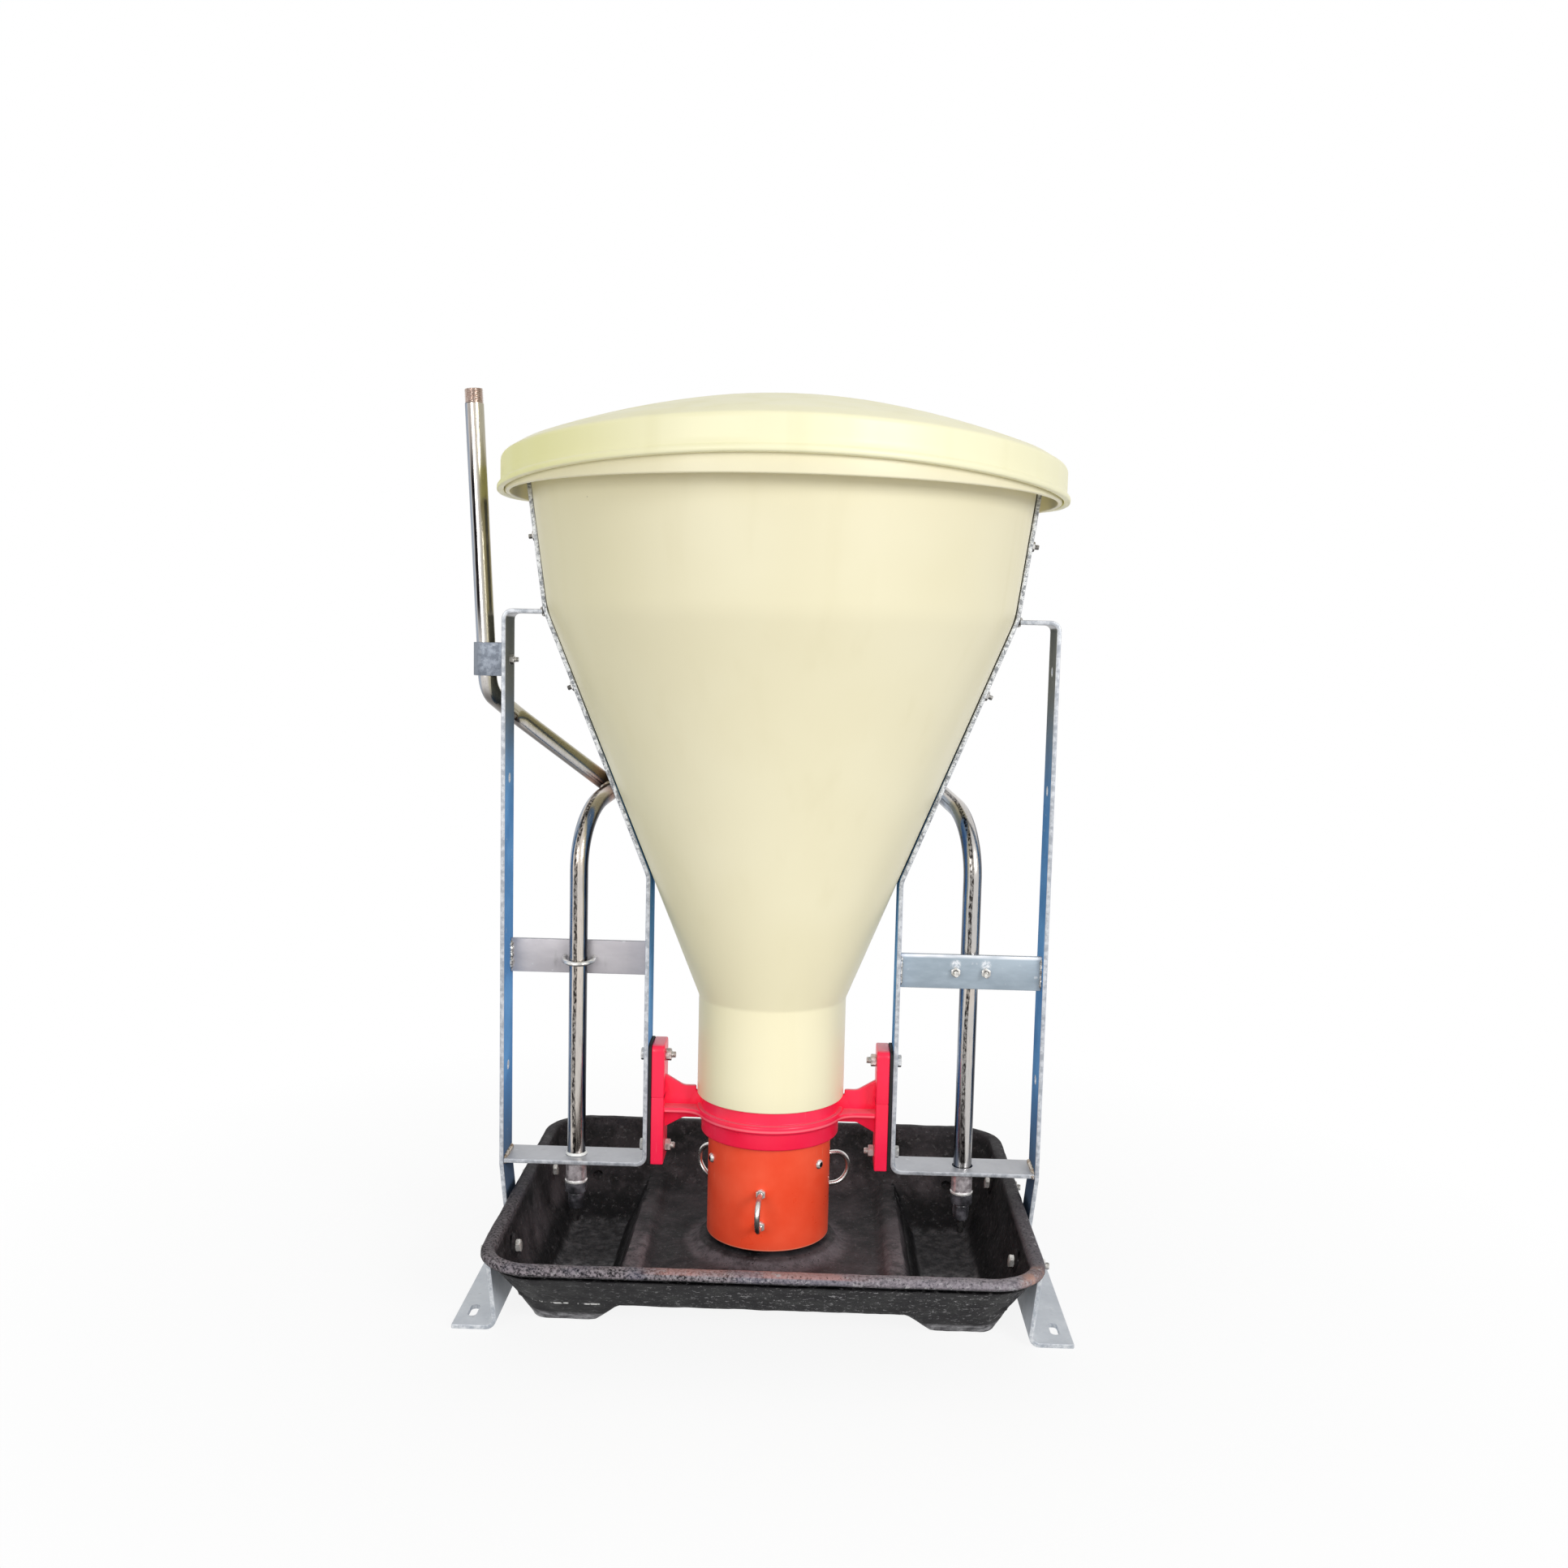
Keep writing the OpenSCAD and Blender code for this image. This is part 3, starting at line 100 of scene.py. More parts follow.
PIPE_TURN_X = DRINKER_X - PIPE_BACK_Y * tan(radians(15))
WATER_ROUTE = [
    (-DRINKER_X, 0, PIPE_END_Z), (-DRINKER_X, 0, PIPE_BEND_Z), (-PIPE_TURN_X, PIPE_BACK_Y, PIPE_BACK_Z),
    (PIPE_TURN_X, PIPE_BACK_Y, PIPE_BACK_Z), (DRINKER_X, 0, PIPE_BEND_Z), (DRINKER_X, 0, PIPE_END_Z)]
WELD_AT = Vector(WATER_ROUTE[1]).lerp(Vector(WATER_ROUTE[2]), 0.43)
UPPER_SLOPE = (TOP_R - BREAK_R) / (RIM_Z - BREAK_Z)
CONE_SLOPE = (BREAK_R - NECK_R) / (BREAK_Z - NECK_TOP_Z)
SIDES = {"right": Matrix(), "left": Matrix.Rotation(math.pi, 4, "Z")}


# Outlines and paths
def rounded(corners, closed=True, steps=6):
    """Points of an outline whose corners (x, y, radius) are turned into arcs."""
    points = []
    count = len(corners)
    for i, (x, y, radius) in enumerate(corners):
        here = Vector((x, y))
        if radius <= 0 or (not closed and i in (0, count - 1)):
            points.append((x, y))
            continue
        to_last = Vector(corners[i - 1][:2]) - here
        to_next = Vector(corners[(i + 1) % count][:2]) - here
        half = to_last.angle(to_next) / 2
        reach = min(radius / tan(half), 0.49 * to_last.length, 0.49 * to_next.length)
        to_last.normalize()
        to_next.normalize()
        centre = here + (to_last + to_next).normalized() * reach / cos(half)
        start = here + to_last * reach - centre
        end = here + to_next * reach - centre
        for step in range(steps + 1):
            share = step / steps
            spoke = start.slerp(end, share) * start.length
            points.append(tuple(centre + spoke))
    return points


def divided(points, step):
    """The closed outline with its long stretches cut into steps."""
    result = []
    for a, b in zip(points, points[1:] + points[:1]):
        count = max(1, round(math.dist(a, b) / step))
        for i in range(count):
            result.append(tuple(p + (q - p) * i / count for p, q in zip(a, b)))
    return result


def arc(x, y, radius, start, end, steps=10):
    """Points of an arc in a plane, with its angles in degrees."""
    angles = [radians(start + (end - start) * i / steps) for i in range(steps + 1)]
    return [(x + radius * cos(a), y + radius * sin(a)) for a in angles]


def bent(route, bend, steps=14):
    """A route of points in space with an arc of the same radius at each inner corner."""
    route = [Vector(p) for p in route]
    path = [route[0]]
    for last, here, following in zip(route, route[1:], route[2:]):
        back = (last - here).normalized()
        ahead = (following - here).normalized()
        half = back.angle(ahead) / 2
        centre = here + (back + ahead).normalized() * bend / sin(half)
        start = here + back * bend / tan(half) - centre
        end = here + ahead * bend / tan(half) - centre
        path += [centre + start.slerp(end, i / steps) * start.length for i in range(steps + 1)]
    return path + [route[-1]]


def resampled(path, step):
    """The path with points no further apart than step."""
    result = []
    for a, b in zip(path, path[1:]):
        count = max(1, math.ceil((b - a).length / step))
        result += [a.lerp(b, i / count) for i in range(count)]
    return result + [path[-1]]


def frames(path, closed=False):
    """Two sideways directions at each point, turned as little as possible."""
    last = len(path) - 1
    tangents = []
    for i in range(len(path)):
        before = path[i - 1] if i or closed else path[0]
        after = path[(i + 1) % len(path)] if i < last or closed else path[last]
        tangents.append((after - before).normalized())
    side = tangents[0].orthogonal().normalized()
    result = []
    for i, tangent in enumerate(tangents):
        if i:
            side = tangents[i - 1].rotation_difference(tangent) @ side
        side = (side - tangent * side.dot(tangent)).normalized()
        result.append((side, tangent.cross(side)))
    return result


def turns(sides):
    """Angles of a full turn in equal steps."""
    return [TAU * k / sides for k in range(sides)]


def around(r, angle, z):
    """The point at a distance from Z, an angle and a height."""
    return (r * cos(angle), r * sin(angle), z)


def tube_rows(path, radius, sides=24, closed=False):
    """Rings of points around a path; radius is a number or a function of (point number, angle)."""
    rows = []
    for i, (point, (side, other)) in enumerate(zip(path, frames(path, closed))):
        row = []
        for angle in turns(sides):
            r = radius(i, angle) if callable(radius) else radius
            row.append(point + side * (r * cos(angle)) + other * (r * sin(angle)))
        rows.append(row)
    return rows


def lathe_rows(profile, sides=96):
    """Rings of points around Z, one for each (radius, height) of the profile."""
    return [[around(r, angle, z) for angle in turns(sides)] for r, z in profile]


def moved(x, y, z):
    return Matrix.Translation((x, y, z))


def at_place(degrees):
    """Turns +X outward at a place around the feed axis, where 0 degrees is the front."""
    return Matrix.Rotation(radians(degrees - 90), 4, "Z")


def pointing(place, direction):
    """Moves to a place and turns +Z along a direction."""
    turn = Vector(direction).to_track_quat("Z", "Y").to_matrix().to_4x4()
    return Matrix.Translation(Vector(place)) @ turn


# Meshes
class Shape:
    """Grids of points in millimetres, gathered into one mesh."""

    def __init__(self):
        self.points = []
        self.faces = []

    def grid(self, rows, place=Matrix(), closed=False, caps=True):
        """Rings of points; closed joins the last ring to the first, caps fill the two ends."""
        first = len(self.points)
        count = len(rows[0])
        total = len(rows)
        self.points += [place @ Vector(point) for row in rows for point in row]
        for i in range(total if closed else total - 1):
            j = (i + 1) % total
            for k in range(count):
                m = (k + 1) % count
                corners = [(i, k), (i, m), (j, m), (j, k)]
                self.faces.append([first + row * count + column for row, column in corners])
        if caps and not closed:
            for row in (0, total - 1):
                self.faces.append([first + row * count + k for k in range(count)])
        return self

    def patch(self, rows):
        """An open sheet of points, whose edge is joined to a ring with the same points."""
        first = len(self.points)
        count = len(rows[0])
        self.points += [Vector(point) for row in rows for point in row]
        for i in range(len(rows) - 1):
            for k in range(count - 1):
                a = first + i * count + k
                self.faces.append([a, a + 1, a + count + 1, a + count])

    def mesh(self, name, sharp=35, warp=None):
        """The mesh in metres, with its faces outward; warp(point) moves a point along its normal, in mm."""
        mesh = bpy.data.meshes.new(name)
        mesh.from_pydata([point * MM for point in self.points], [], self.faces)
        bm = bmesh.new()
        bm.from_mesh(mesh)
        bmesh.ops.remove_doubles(bm, verts=bm.verts, dist=2e-6)
        bmesh.ops.dissolve_degenerate(bm, edges=bm.edges, dist=1e-7)
        bmesh.ops.recalc_face_normals(bm, faces=bm.faces)
        if warp:
            bm.normal_update()
            for vert in bm.verts:
                vert.co += vert.normal * warp(vert.co / MM) * MM
        for face in bm.faces:
            face.smooth = True
        bm.to_mesh(mesh)
        bm.free()
        mesh.set_sharp_from_angle(angle=radians(sharp))
        return mesh


def add(name, shape, body, slot, look, *nodes, sharp=35, warp=None):
    """Puts a shape in the scene as a piece that rides on a body and stands for CAD nodes."""
    mesh = shape.mesh(name, sharp, warp)
    mesh.materials.append(look)
    piece = bpy.data.objects.new(name, mesh)
    bpy.context.scene.collection.objects.link(piece)
    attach(piece, body)
    if nodes:
        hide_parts(*nodes)
    return piece


def cut(piece, cutter_shape, sharp=35):
    """Cuts the cutter's solids out of a piece."""
    cutter = bpy.data.objects.new("cutter", cutter_shape.mesh("cutter"))
    bpy.context.scene.collection.objects.link(cutter)
    modifier = piece.modifiers.new("cut", "BOOLEAN")
    modifier.operation = "DIFFERENCE"
    modifier.solver = "EXACT"
    modifier.object = cutter
    look = piece.data.materials[0]
    evaluated = piece.evaluated_get(bpy.context.evaluated_depsgraph_get())
    mesh = bpy.data.meshes.new_from_object(evaluated)
    piece.modifiers.clear()
    piece.data = mesh
    mesh.materials.clear()
    mesh.materials.append(look)
    for polygon in mesh.polygons:
        polygon.material_index = 0
        polygon.use_smooth = True
    mesh.set_sharp_from_angle(angle=radians(sharp))
    bpy.data.objects.remove(cutter)


# Repeated shapes
def hex_reach(af, angle):
    """Distance from the middle of a hexagon to its edge in a direction."""
    sixth = TAU / 6
    return af / 2 / cos((angle + sixth / 2) % sixth - sixth / 2)


def hex_side_rings(af, h, sides=48):
    """Rings of a hexagon's side with its corners cut back by a cone at both ends."""
    flat = 0.955 * af / 2
    slope = tan(radians(30))
    rings = [[], [], [], []]
    for angle in turns(sides):
        reach = hex_reach(af, angle)
        drop = (reach - flat) * slope
        for ring, r, z in zip(rings, (flat, reach, reach, flat), (0, drop, h - drop, h)):
            ring.append(around(r, angle, z))
    return rings


def hex_nut(shape, size, place):
    """Nut standing on zero, with its bore chamfered."""
    bore, af, h = size[0] / 2, size[1], size[3]
    lead = 0.07 * size[0]
    inside = [(bore + lead, h), (bore - lead, h - 2 * lead), (bore - lead, 2 * lead), (bore + lead, 0)]
    shape.grid(hex_side_rings(af, h) + lathe_rows(inside, 48), place, closed=True)


def thread_radius(d, pitch, z, angle):
    """Radius of a screw thread with flat crests at a height and an angle."""
    depth = 0.55 * pitch
    wave = abs(((z / pitch - angle / TAU) % 1.0) * 2 - 1)
    return d / 2 - depth * min(max(1.6 * wave - 0.3, 0), 1)


def threaded_rod(shape, d, z0, z1, plain_z, place, pitch=1.25, sides=20):
    """Rod along Z, plain up to a height and threaded from there to its chamfered end."""
    rows = lathe_rows([(d / 2, z0), (d / 2, plain_z)], sides)
    count = max(2, round((z1 - plain_z) / (pitch / 4)))
    for i in range(count + 1):
        z = plain_z + (z1 - plain_z) * i / count
        taper = (1 - min(1, (z1 - z) / pitch)) * 0.3 * pitch
        rows.append([around(thread_radius(d, pitch, z, a) - taper, a, z) for a in turns(sides)])
    shape.grid(rows, place)


def hex_bolt(shape, size, length, thread_l, place, pitch=1.25):
    """Bolt along +Z: its head lies below zero, its shank reaches up to length."""
    shape.grid(hex_side_rings(size[1], size[2]), place @ moved(0, 0, -size[2]))
    threaded_rod(shape, size[0], -size[2] / 2, length, length - thread_l, place, pitch)


def bar_rows(path, thickness, width, edge=BAR_EDGE):
    """Rings along a flat bar bent in the XZ plane; its thickness lies to the left of the path."""
    sign = math.copysign(1, thickness)

    def section(inset):
        t, w = abs(thickness) - inset, width / 2 - inset
        corners = [(inset, -w, edge), (t, -w, edge), (t, w, edge), (inset, w, edge)]
        return rounded(corners, steps=3)

    path = [Vector(p) for p in path]
    rows = []
    last = len(path) - 1
    for i, point in enumerate(path):
        into = (path[i] - path[i - 1]).normalized() if i else (path[1] - path[0]).normalized()
        out = (path[i + 1] - path[i]).normalized() if i < last else into
        left_in, left_out = Vector((-into.y, into.x)), Vector((-out.y, out.x))
        left = (left_in + left_out) / (1 + left_in.dot(left_out)) * sign
        stations = [(point, 0)]
        if i == 0:
            stations = [(point, edge), (point + out * edge, 0)]
        if i == last:
            stations = [(point - into * edge, 0), (point, edge)]
        for place, inset in stations:
            rows.append([(place.x + left.x * o, y, place.y + left.y * o) for o, y in section(inset)])
    return rows


def prism(shape, outline, z0, z1, edge, place=Matrix(), hole=None):
    """An outline of (x, y) points raised from z0 to z1, with rounded edges; hole has as many points."""
    def inset(points, by):
        result = []
        for i, p in enumerate(points):
            before, here, after = Vector(points[i - 1]), Vector(p), Vector(points[(i + 1) % len(points)])
            a, b = (here - before).normalized(), (after - here).normalized()
            left = Vector((-a.y - b.y, a.x + b.x))
            result.append(tuple(here + left.normalized() * by))
        return result

    def rim(points, levels, sign):
        return [[(x, y, z) for x, y in inset(points, sign * by)] for z, by in levels]

    bend = [(edge * (1 - cos(a)), edge * (1 - sin(a))) for a in (0, TAU / 12, TAU / 6, TAU / 4)]
    levels = [(z0 + up, by) for up, by in bend] + [(z1 - up, by) for up, by in reversed(bend)]
    rows = rim(outline, levels, 1)
    if hole:
        rows += rim(hole, levels[::-1], -1)
    shape.grid(rows, place, closed=bool(hole))


def bead(shape, place, path, radius, seed, lump=0.22):
    """A weld bead along a path, with ripples and lumps."""
    ripple = 2.6
    path = resampled([Vector(p) for p in path], radius * 0.35)
    last = len(path) - 1

    def size(i, angle):
        taper = min(1, sqrt((min(i, last - i) + 0.3) / 5))
        wave = 1 + lump * noise.noise(path[i] * 0.35 + Vector((seed, angle * 0.3, 0)))
        return radius * taper * (wave + 0.07 * sin(TAU * i * 0.35 * radius / ripple))

    shape.grid(tube_rows(path, size, 10), place)


# Materials
def srgb(red, green, blue):
    """A colour as it looks on a screen, for a shader's socket."""
    def linear(value):
        value /= 255
        return value / 12.92 if value <= 0.04045 else ((value + 0.055) / 1.055) ** 2.4
    return (linear(red), linear(green), linear(blue), 1)


def join(tree, value, socket):
    """Links a socket or sets a value; None leaves the socket as it is."""
    if isinstance(value, bpy.types.NodeSocket):
        tree.links.new(value, socket)
    elif value is not None:
        socket.default_value = value


def new_node(tree, kind, *inputs, **settings):
    """A node with its settings, whose first inputs are linked or set in order."""
    node = tree.nodes.new(kind)
    for key, value in settings.items():
        setattr(node, key, value)
    for socket, value in zip(node.inputs, inputs):
        join(tree, value, socket)
    return node


class Look:
    """A Principled material, the nodes that feed it and the colour painted so far.

    A factor is a socket, a number, or a soft step (value, low, high) that may end with (start, end).
    """

    def __init__(self, name, **values):
        self.material = bpy.data.materials.new(name)
        self.material.use_nodes = True
        self.tree = self.material.node_tree
        self.shader = self.tree.nodes["Principled BSDF"]
        self.colour = None
        self.place = self.coords()
        self.x, self.y, self.z = self.parts("Object")
        self.normal_x, self.normal_y, self.normal_z = self.parts("Normal")
        for socket, value in values.items():
            self.feed(socket.replace("_", " "), value)

    def feed(self, socket, value):
        join(self.tree, value, self.shader.inputs[socket])

    def node(self, kind, *inputs, **settings):
        return new_node(self.tree, kind, *inputs, **settings)

    def coords(self, source="Object", scale=(1, 1, 1)):
        """The position or the normal, with its axes scaled."""
        vector = self.node("ShaderNodeTexCoord").outputs[source]
        return self.node("ShaderNodeMapping", vector, None, None, scale).outputs["Vector"]

    def parts(self, source):
        """The three components of the position or the normal."""
        vector = self.node("ShaderNodeTexCoord").outputs[source]
        return self.node("ShaderNodeSeparateXYZ", vector).outputs

    def noise(self, scale, detail=4, roughness=0.55, stretch=None):
        """Noise over the position, drawn out along the axes whose stretch is small."""
        vector = self.coords(scale=stretch) if stretch else self.place
        return self.node("ShaderNodeTexNoise", vector, None, scale, detail, roughness).outputs["Fac"]

    def cells(self, scale, output="Distance"):
        return self.node("ShaderNodeTexVoronoi", self.place, None, scale).outputs[output]

    def level(self, value, low, high, start=0.0, end=1.0):
        """A soft step from start to end while the value goes from low to high."""
        inputs = (value, low, high, start, end)
        return self.node("ShaderNodeMapRange", *inputs, interpolation_type="SMOOTHSTEP").outputs["Result"]

    def math(self, operation, first, second=None):
        return self.node("ShaderNodeMath", first, second, operation=operation).outputs[0]

    def product(self, *factors):
        sockets = [self.level(*factor) if isinstance(factor, tuple) else factor for factor in factors]
        total = sockets[0]
        for socket in sockets[1:]:
            total = self.math("MULTIPLY", total, socket)
        return total

    def off(self, value, middle=0.0):
        """How far a value is from a middle, up or down."""
        return self.math("ABSOLUTE", self.math("SUBTRACT", value, middle))

    def vector(self, operation, *inputs):
        """A number made from vectors."""
        return self.node("ShaderNodeVectorMath", *inputs, operation=operation).outputs["Value"]

    def away(self, point, scale=(1, 1, 1)):
        """Distance in metres from a point in millimetres, along the axes that scale keeps."""
        return self.vector("DISTANCE", self.coords(scale=scale), Vector(point) * MM)

    def mix(self, first, second, *factors):
        """A blend of two colours; three numbers stand for a colour as it looks on a screen."""
        node = self.node("ShaderNodeMix", self.product(*factors), data_type="RGBA")
        for colour, socket in ((first, node.inputs[6]), (second, node.inputs[7])):
            join(self.tree, srgb(*colour) if isinstance(colour, tuple) else colour, socket)
        return node.outputs[2]

    def paint(self, shade, *factors):
        """Lays a shade over the colour painted so far."""
        self.colour = self.mix(self.colour, shade, *factors)

    def done(self, roughness, *bumps):
        """The material with its colour, roughness and bumps of (height, strength, distance in metres)."""
        self.feed("Base Color", self.colour)
        self.feed("Roughness", self.product(roughness))
        normal = None
        for height, strength, distance in bumps:
            node = self.node("ShaderNodeBump")
            values = {"Height": height, "Strength": strength, "Distance": distance, "Normal": normal}
            for socket, value in values.items():
                join(self.tree, value, node.inputs[socket])
            normal = node.outputs["Normal"]
        self.feed("Normal", normal)
        return self.material


# Painted reflection of a blue sky, for the sides of the legs and straps
SKY_REFLECTION = ((98, 150, 208), (118, 174, 232))


def galvanised(name, flat, edge, side, speckled=True, rough=None, worn=False):
    """Zinc: clouds, speckled or calm front faces, a painted reflection on the sides; rough is spattered high
    up, worn has smears and a painted highlight along the top edge.
    """
    look = Look(name)
    clouds = look.noise(14, 5)
    crystals = look.product(look.cells(210, "Color"), 0.22)
    look.colour = look.mix(*flat, look.math("ADD", look.level(clouds, 0.3, 0.7, 0, 0.8), crystals))
    sideways = look.level(look.off(look.normal_x), 0.75, 0.97)
    # The sides get a painted reflection in place of the zinc's own tone
    side_reflection = look.mix(*side, (clouds, 0.35, 0.7))
    sheen = 0.08
    if side == SKY_REFLECTION:
        # The painted reflection turns greyer high up, and low down it darkens into painted shade
        side_reflection = look.mix(side_reflection, (130, 133, 132), (look.z, 0.55, 0.72))
        side_reflection = look.mix(side_reflection, (82, 94, 112), (look.z, 0.27, 0.13, 0, 0.9))
        sheen = 0.0
    look.paint(side_reflection, sideways)
    # Painted highlights at the legs' holes
    if side == SKY_REFLECTION:
        for z in LEG_HOLES_Z:
            look.paint((240, 242, 244), (look.away((0, 0, z), (0, 1, 1)), 0.0064, 0.005, 0, 0.9))
    look.feed("Metallic", look.level(sideways, 0, 1, 0.5, sheen))
    look.feed("Specular IOR Level", look.level(sideways, 0, 1, 0.3, sheen))
    spread = look.noise(150, 4, 0.7) if speckled else look.noise(34, 5, 0.6, (0.35, 1, 1))
    front = look.mix(*edge, (spread, 0.36, 0.64))
    bumps = [(clouds, 0.1, 0.002), (look.noise(420, 3, 0.6), 0.14, 0.0004)]
    if rough:
        spatter = look.noise(260, 4, 0.7)
        beside_hopper = look.level(look.z, 0.42, 0.56)
        front = look.mix(front, look.mix(*rough, (spatter, 0.38, 0.62)), beside_hopper)
        bumps.insert(0, (look.product(spatter, beside_hopper), 0.5, 0.002))
    if worn:
        # Painted highlight in streaks along the top edge, and whitish smears above the U-bolt nuts
        highlight_streaks = look.level(look.noise(60, 3, 0.6, (0.25, 1, 1)), 0.3, 0.55, 0.25, 0.9)
        top = (CROSS_Z + CROSS_H) * MM
        front = look.mix(front, (246, 247, 252), (look.z, top - 0.005, top - 0.002), highlight_streaks)
        broken = look.level(look.noise(420, 3, 0.7), 0.4, 0.56, 0.15, 0.9)
        for x in (DRINKER_X - U_LEG, DRINKER_X + U_LEG):
            nut = look.away((x, 0, U_Z + SMEAR_UP), (1, 0, 1))
            front = look.mix(front, (232, 234, 238), (nut, 0.0075, 0.003), broken)
    look.paint(front, (look.off(look.normal_y), 0.75, 0.97))
    look.paint((214, 216, 219), (look.noise(110, 3, 0.6), 0.67, 0.74, 0, 0.5))
    look.paint((112, 110, 110), (look.noise(60, 4, 0.55, (1, 1, 0.3)), 0.64, 0.76, 0, 0.3))
    return look.done((clouds, 0.25, 0.75, 0.32, 0.5), *bumps)


def stainless_pipe(name, dark_reflection_from, dark_reflection_to, threaded):
    """Polished pipe: painted reflections that follow the way its wall faces (pale, bluish and khaki tones, a
    dark band, dark edges and underside), with heat tint at the weld.
    """
    look = Look(name, Metallic=1.0)
    sway = 0.06 if threaded else 0.14
    # The painted reflections go by the way the wall faces, wandering a little
    wander = look.level(look.noise(9, 3, 0.5), 0.25, 0.75, -sway, sway)
    across = look.math("ADD", look.normal_x, wander)
    fine = look.noise(900, 3, 0.6, (1, 1, 0.06))
    look.colour = look.mix((196, 193, 190), (214, 204, 194), (look.noise(7, 2, 0.5), 0.4, 0.62))
    if threaded:
        look.paint((172, 166, 146), (across, 0.05, 0.4))
    look.paint((150, 160, 174), (across, -0.5, -0.72))
    # Painted dark reflection underneath
    look.paint((70, 65, 63), (look.normal_z, -0.2, -0.7, 0, 0.8))
    # A dark band of painted reflection
    dark_reflection = look.product((across, dark_reflection_from, dark_reflection_from + 0.14), (across, dark_reflection_to, dark_reflection_to - 0.14))
    if threaded:
        look.paint((20, 18, 20), dark_reflection, (look.z, 1.0, 0.93, 0.4, 1), (look.z, 0.74, 0.8))
    else:
        look.paint((42, 39, 38), dark_reflection, (look.noise(380, 4, 0.7, (1, 1, 0.4)), 0.42, 0.56, 0.45, 1))
        look.paint((50, 52, 62), (across, 0.66, 0.86))
    look.paint((60, 62, 70), (across, -0.84, -0.94, 0, 0.8))
    look.paint((120, 116, 112), (fine, 0.5, 0.75, 0, 0.4))
    weld = look.away(WELD_AT)
    look.paint((146, 108, 88), (weld, 0.05, 0.03, 0, 0.7))
    look.paint((42, 32, 28), (weld, 0.034, 0.02, 0, 0.95))
    if threaded:
        thread_z = (INLET_TOP - THREAD_L) * MM
        copper = look.mix((164, 144, 134), (218, 203, 194), (fine, 0.35, 0.65))
        look.paint(copper, (look.z, thread_z - 0.001, thread_z + 0.001))
    return look.done((fine, 0.3, 0.7, 0.14, 0.28), (fine, 0.06, 0.0003))


def bright_steel(name, dark, light, metallic=0.45, stain=160, ring_z=None):
    """Turned and rolled metal: small stains, fine scratches, a painted dark reflection underneath; a painted
    highlight ring up to ring_z.
    """
    look = Look(name, Metallic=metallic)
    stains = look.noise(stain, 4, 0.6)
    look.colour = look.mix(dark, light, (stains, 0.3, 0.65))
    # Painted dark reflection underneath
    look.paint((46, 43, 42), (look.normal_z, -0.1, -0.6, 0, 0.8))
    # Painted highlight ring along the lower edge, up to ring_z
    if ring_z:
        look.paint((244, 242, 240), (look.z, (ring_z + 0.6) * MM, (ring_z - 0.4) * MM))
    return look.done((stains, 0.3, 0.7, 0.34, 0.2), (look.noise(900, 2, 0.5), 0.08, 0.0003))


def weld_metal(name, dark, light):
    """Weld: heat tint and scale on rough bright metal."""
    look = Look(name, Metallic=0.8)
    burnt = look.noise(190, 5, 0.65)
    look.colour = look.mix(dark, light, (burnt, 0.36, 0.62))
    return look.done((burnt, 0.3, 0.7, 0.55, 0.3), (look.noise(700, 3), 0.35, 0.0006))


def cream_plastic(name, deep, pale, grime, left):
    """Moulded plastic: faint clouds, flow lines down the wall, a few specks, and painted shade as a yellower
    tone toward the left.
    """
    look = Look(name, Specular_IOR_Level=0.4)
    clouds = look.noise(3.5, 3, 0.5)
    flow = look.noise(30, 3, 0.5, (1, 1, 0.1))
    look.colour = look.mix(deep, pale, (clouds, 0.3, 0.7))
    look.paint(grime, (flow, 0.52, 0.8, 0, 0.22))
    # Painted shade: a yellower tone on the faces toward the left
    look.paint(left, (look.normal_x, -0.3, -0.95, 0, 0.8))
    look.paint((160, 148, 112), (look.cells(40), 0.045, 0.02, 0, 0.45), (look.noise(18, 2), 0.62, 0.68))
    bumps = ((clouds, 0.05, 0.004), (flow, 0.03, 0.001), (look.noise(700, 2, 0.5), 0.05, 0.0003))
    return look.done((flow, 0.3, 0.75, 0.36, 0.48), *bumps)


def glossy_plastic(name, deep, pale, scuff_and_highlight, scuff_share, upward_tone, highlight_z):
    """Coloured moulding: scratches up and down, paler on what looks up, a painted highlight line at a given
    height.
    """
    look = Look(name, Specular_IOR_Level=0.4, Coat_Weight=0.06, Coat_Roughness=0.14)
    clouds = look.noise(14)
    scratch = look.noise(330, 3, 0.7, (1, 1, 0.05))
    look.colour = look.mix(deep, pale, (clouds, 0.3, 0.7))
    look.paint(scuff_and_highlight, (scratch, 0.64, 0.74), (clouds, 0.48, 0.66), scuff_share)
    # Painted highlight: a pale line at one height, around the middle
    off_highlight = look.off(look.z, highlight_z * MM)
    look.paint(scuff_and_highlight, (off_highlight, 0.0017, 0.0007), (look.off(look.x), 0.1232, 0.1222, 0, 0.5))
    # Paler on the faces that look up
    look.paint(upward_tone, (look.normal_z, 0.75, 0.98, 0, 0.7))
    bumps = ((scratch, 0.04, 0.0004), (look.noise(520, 3, 0.5), 0.1, 0.0004))
    return look.done((clouds, 0.3, 0.7, 0.26, 0.4), *bumps)


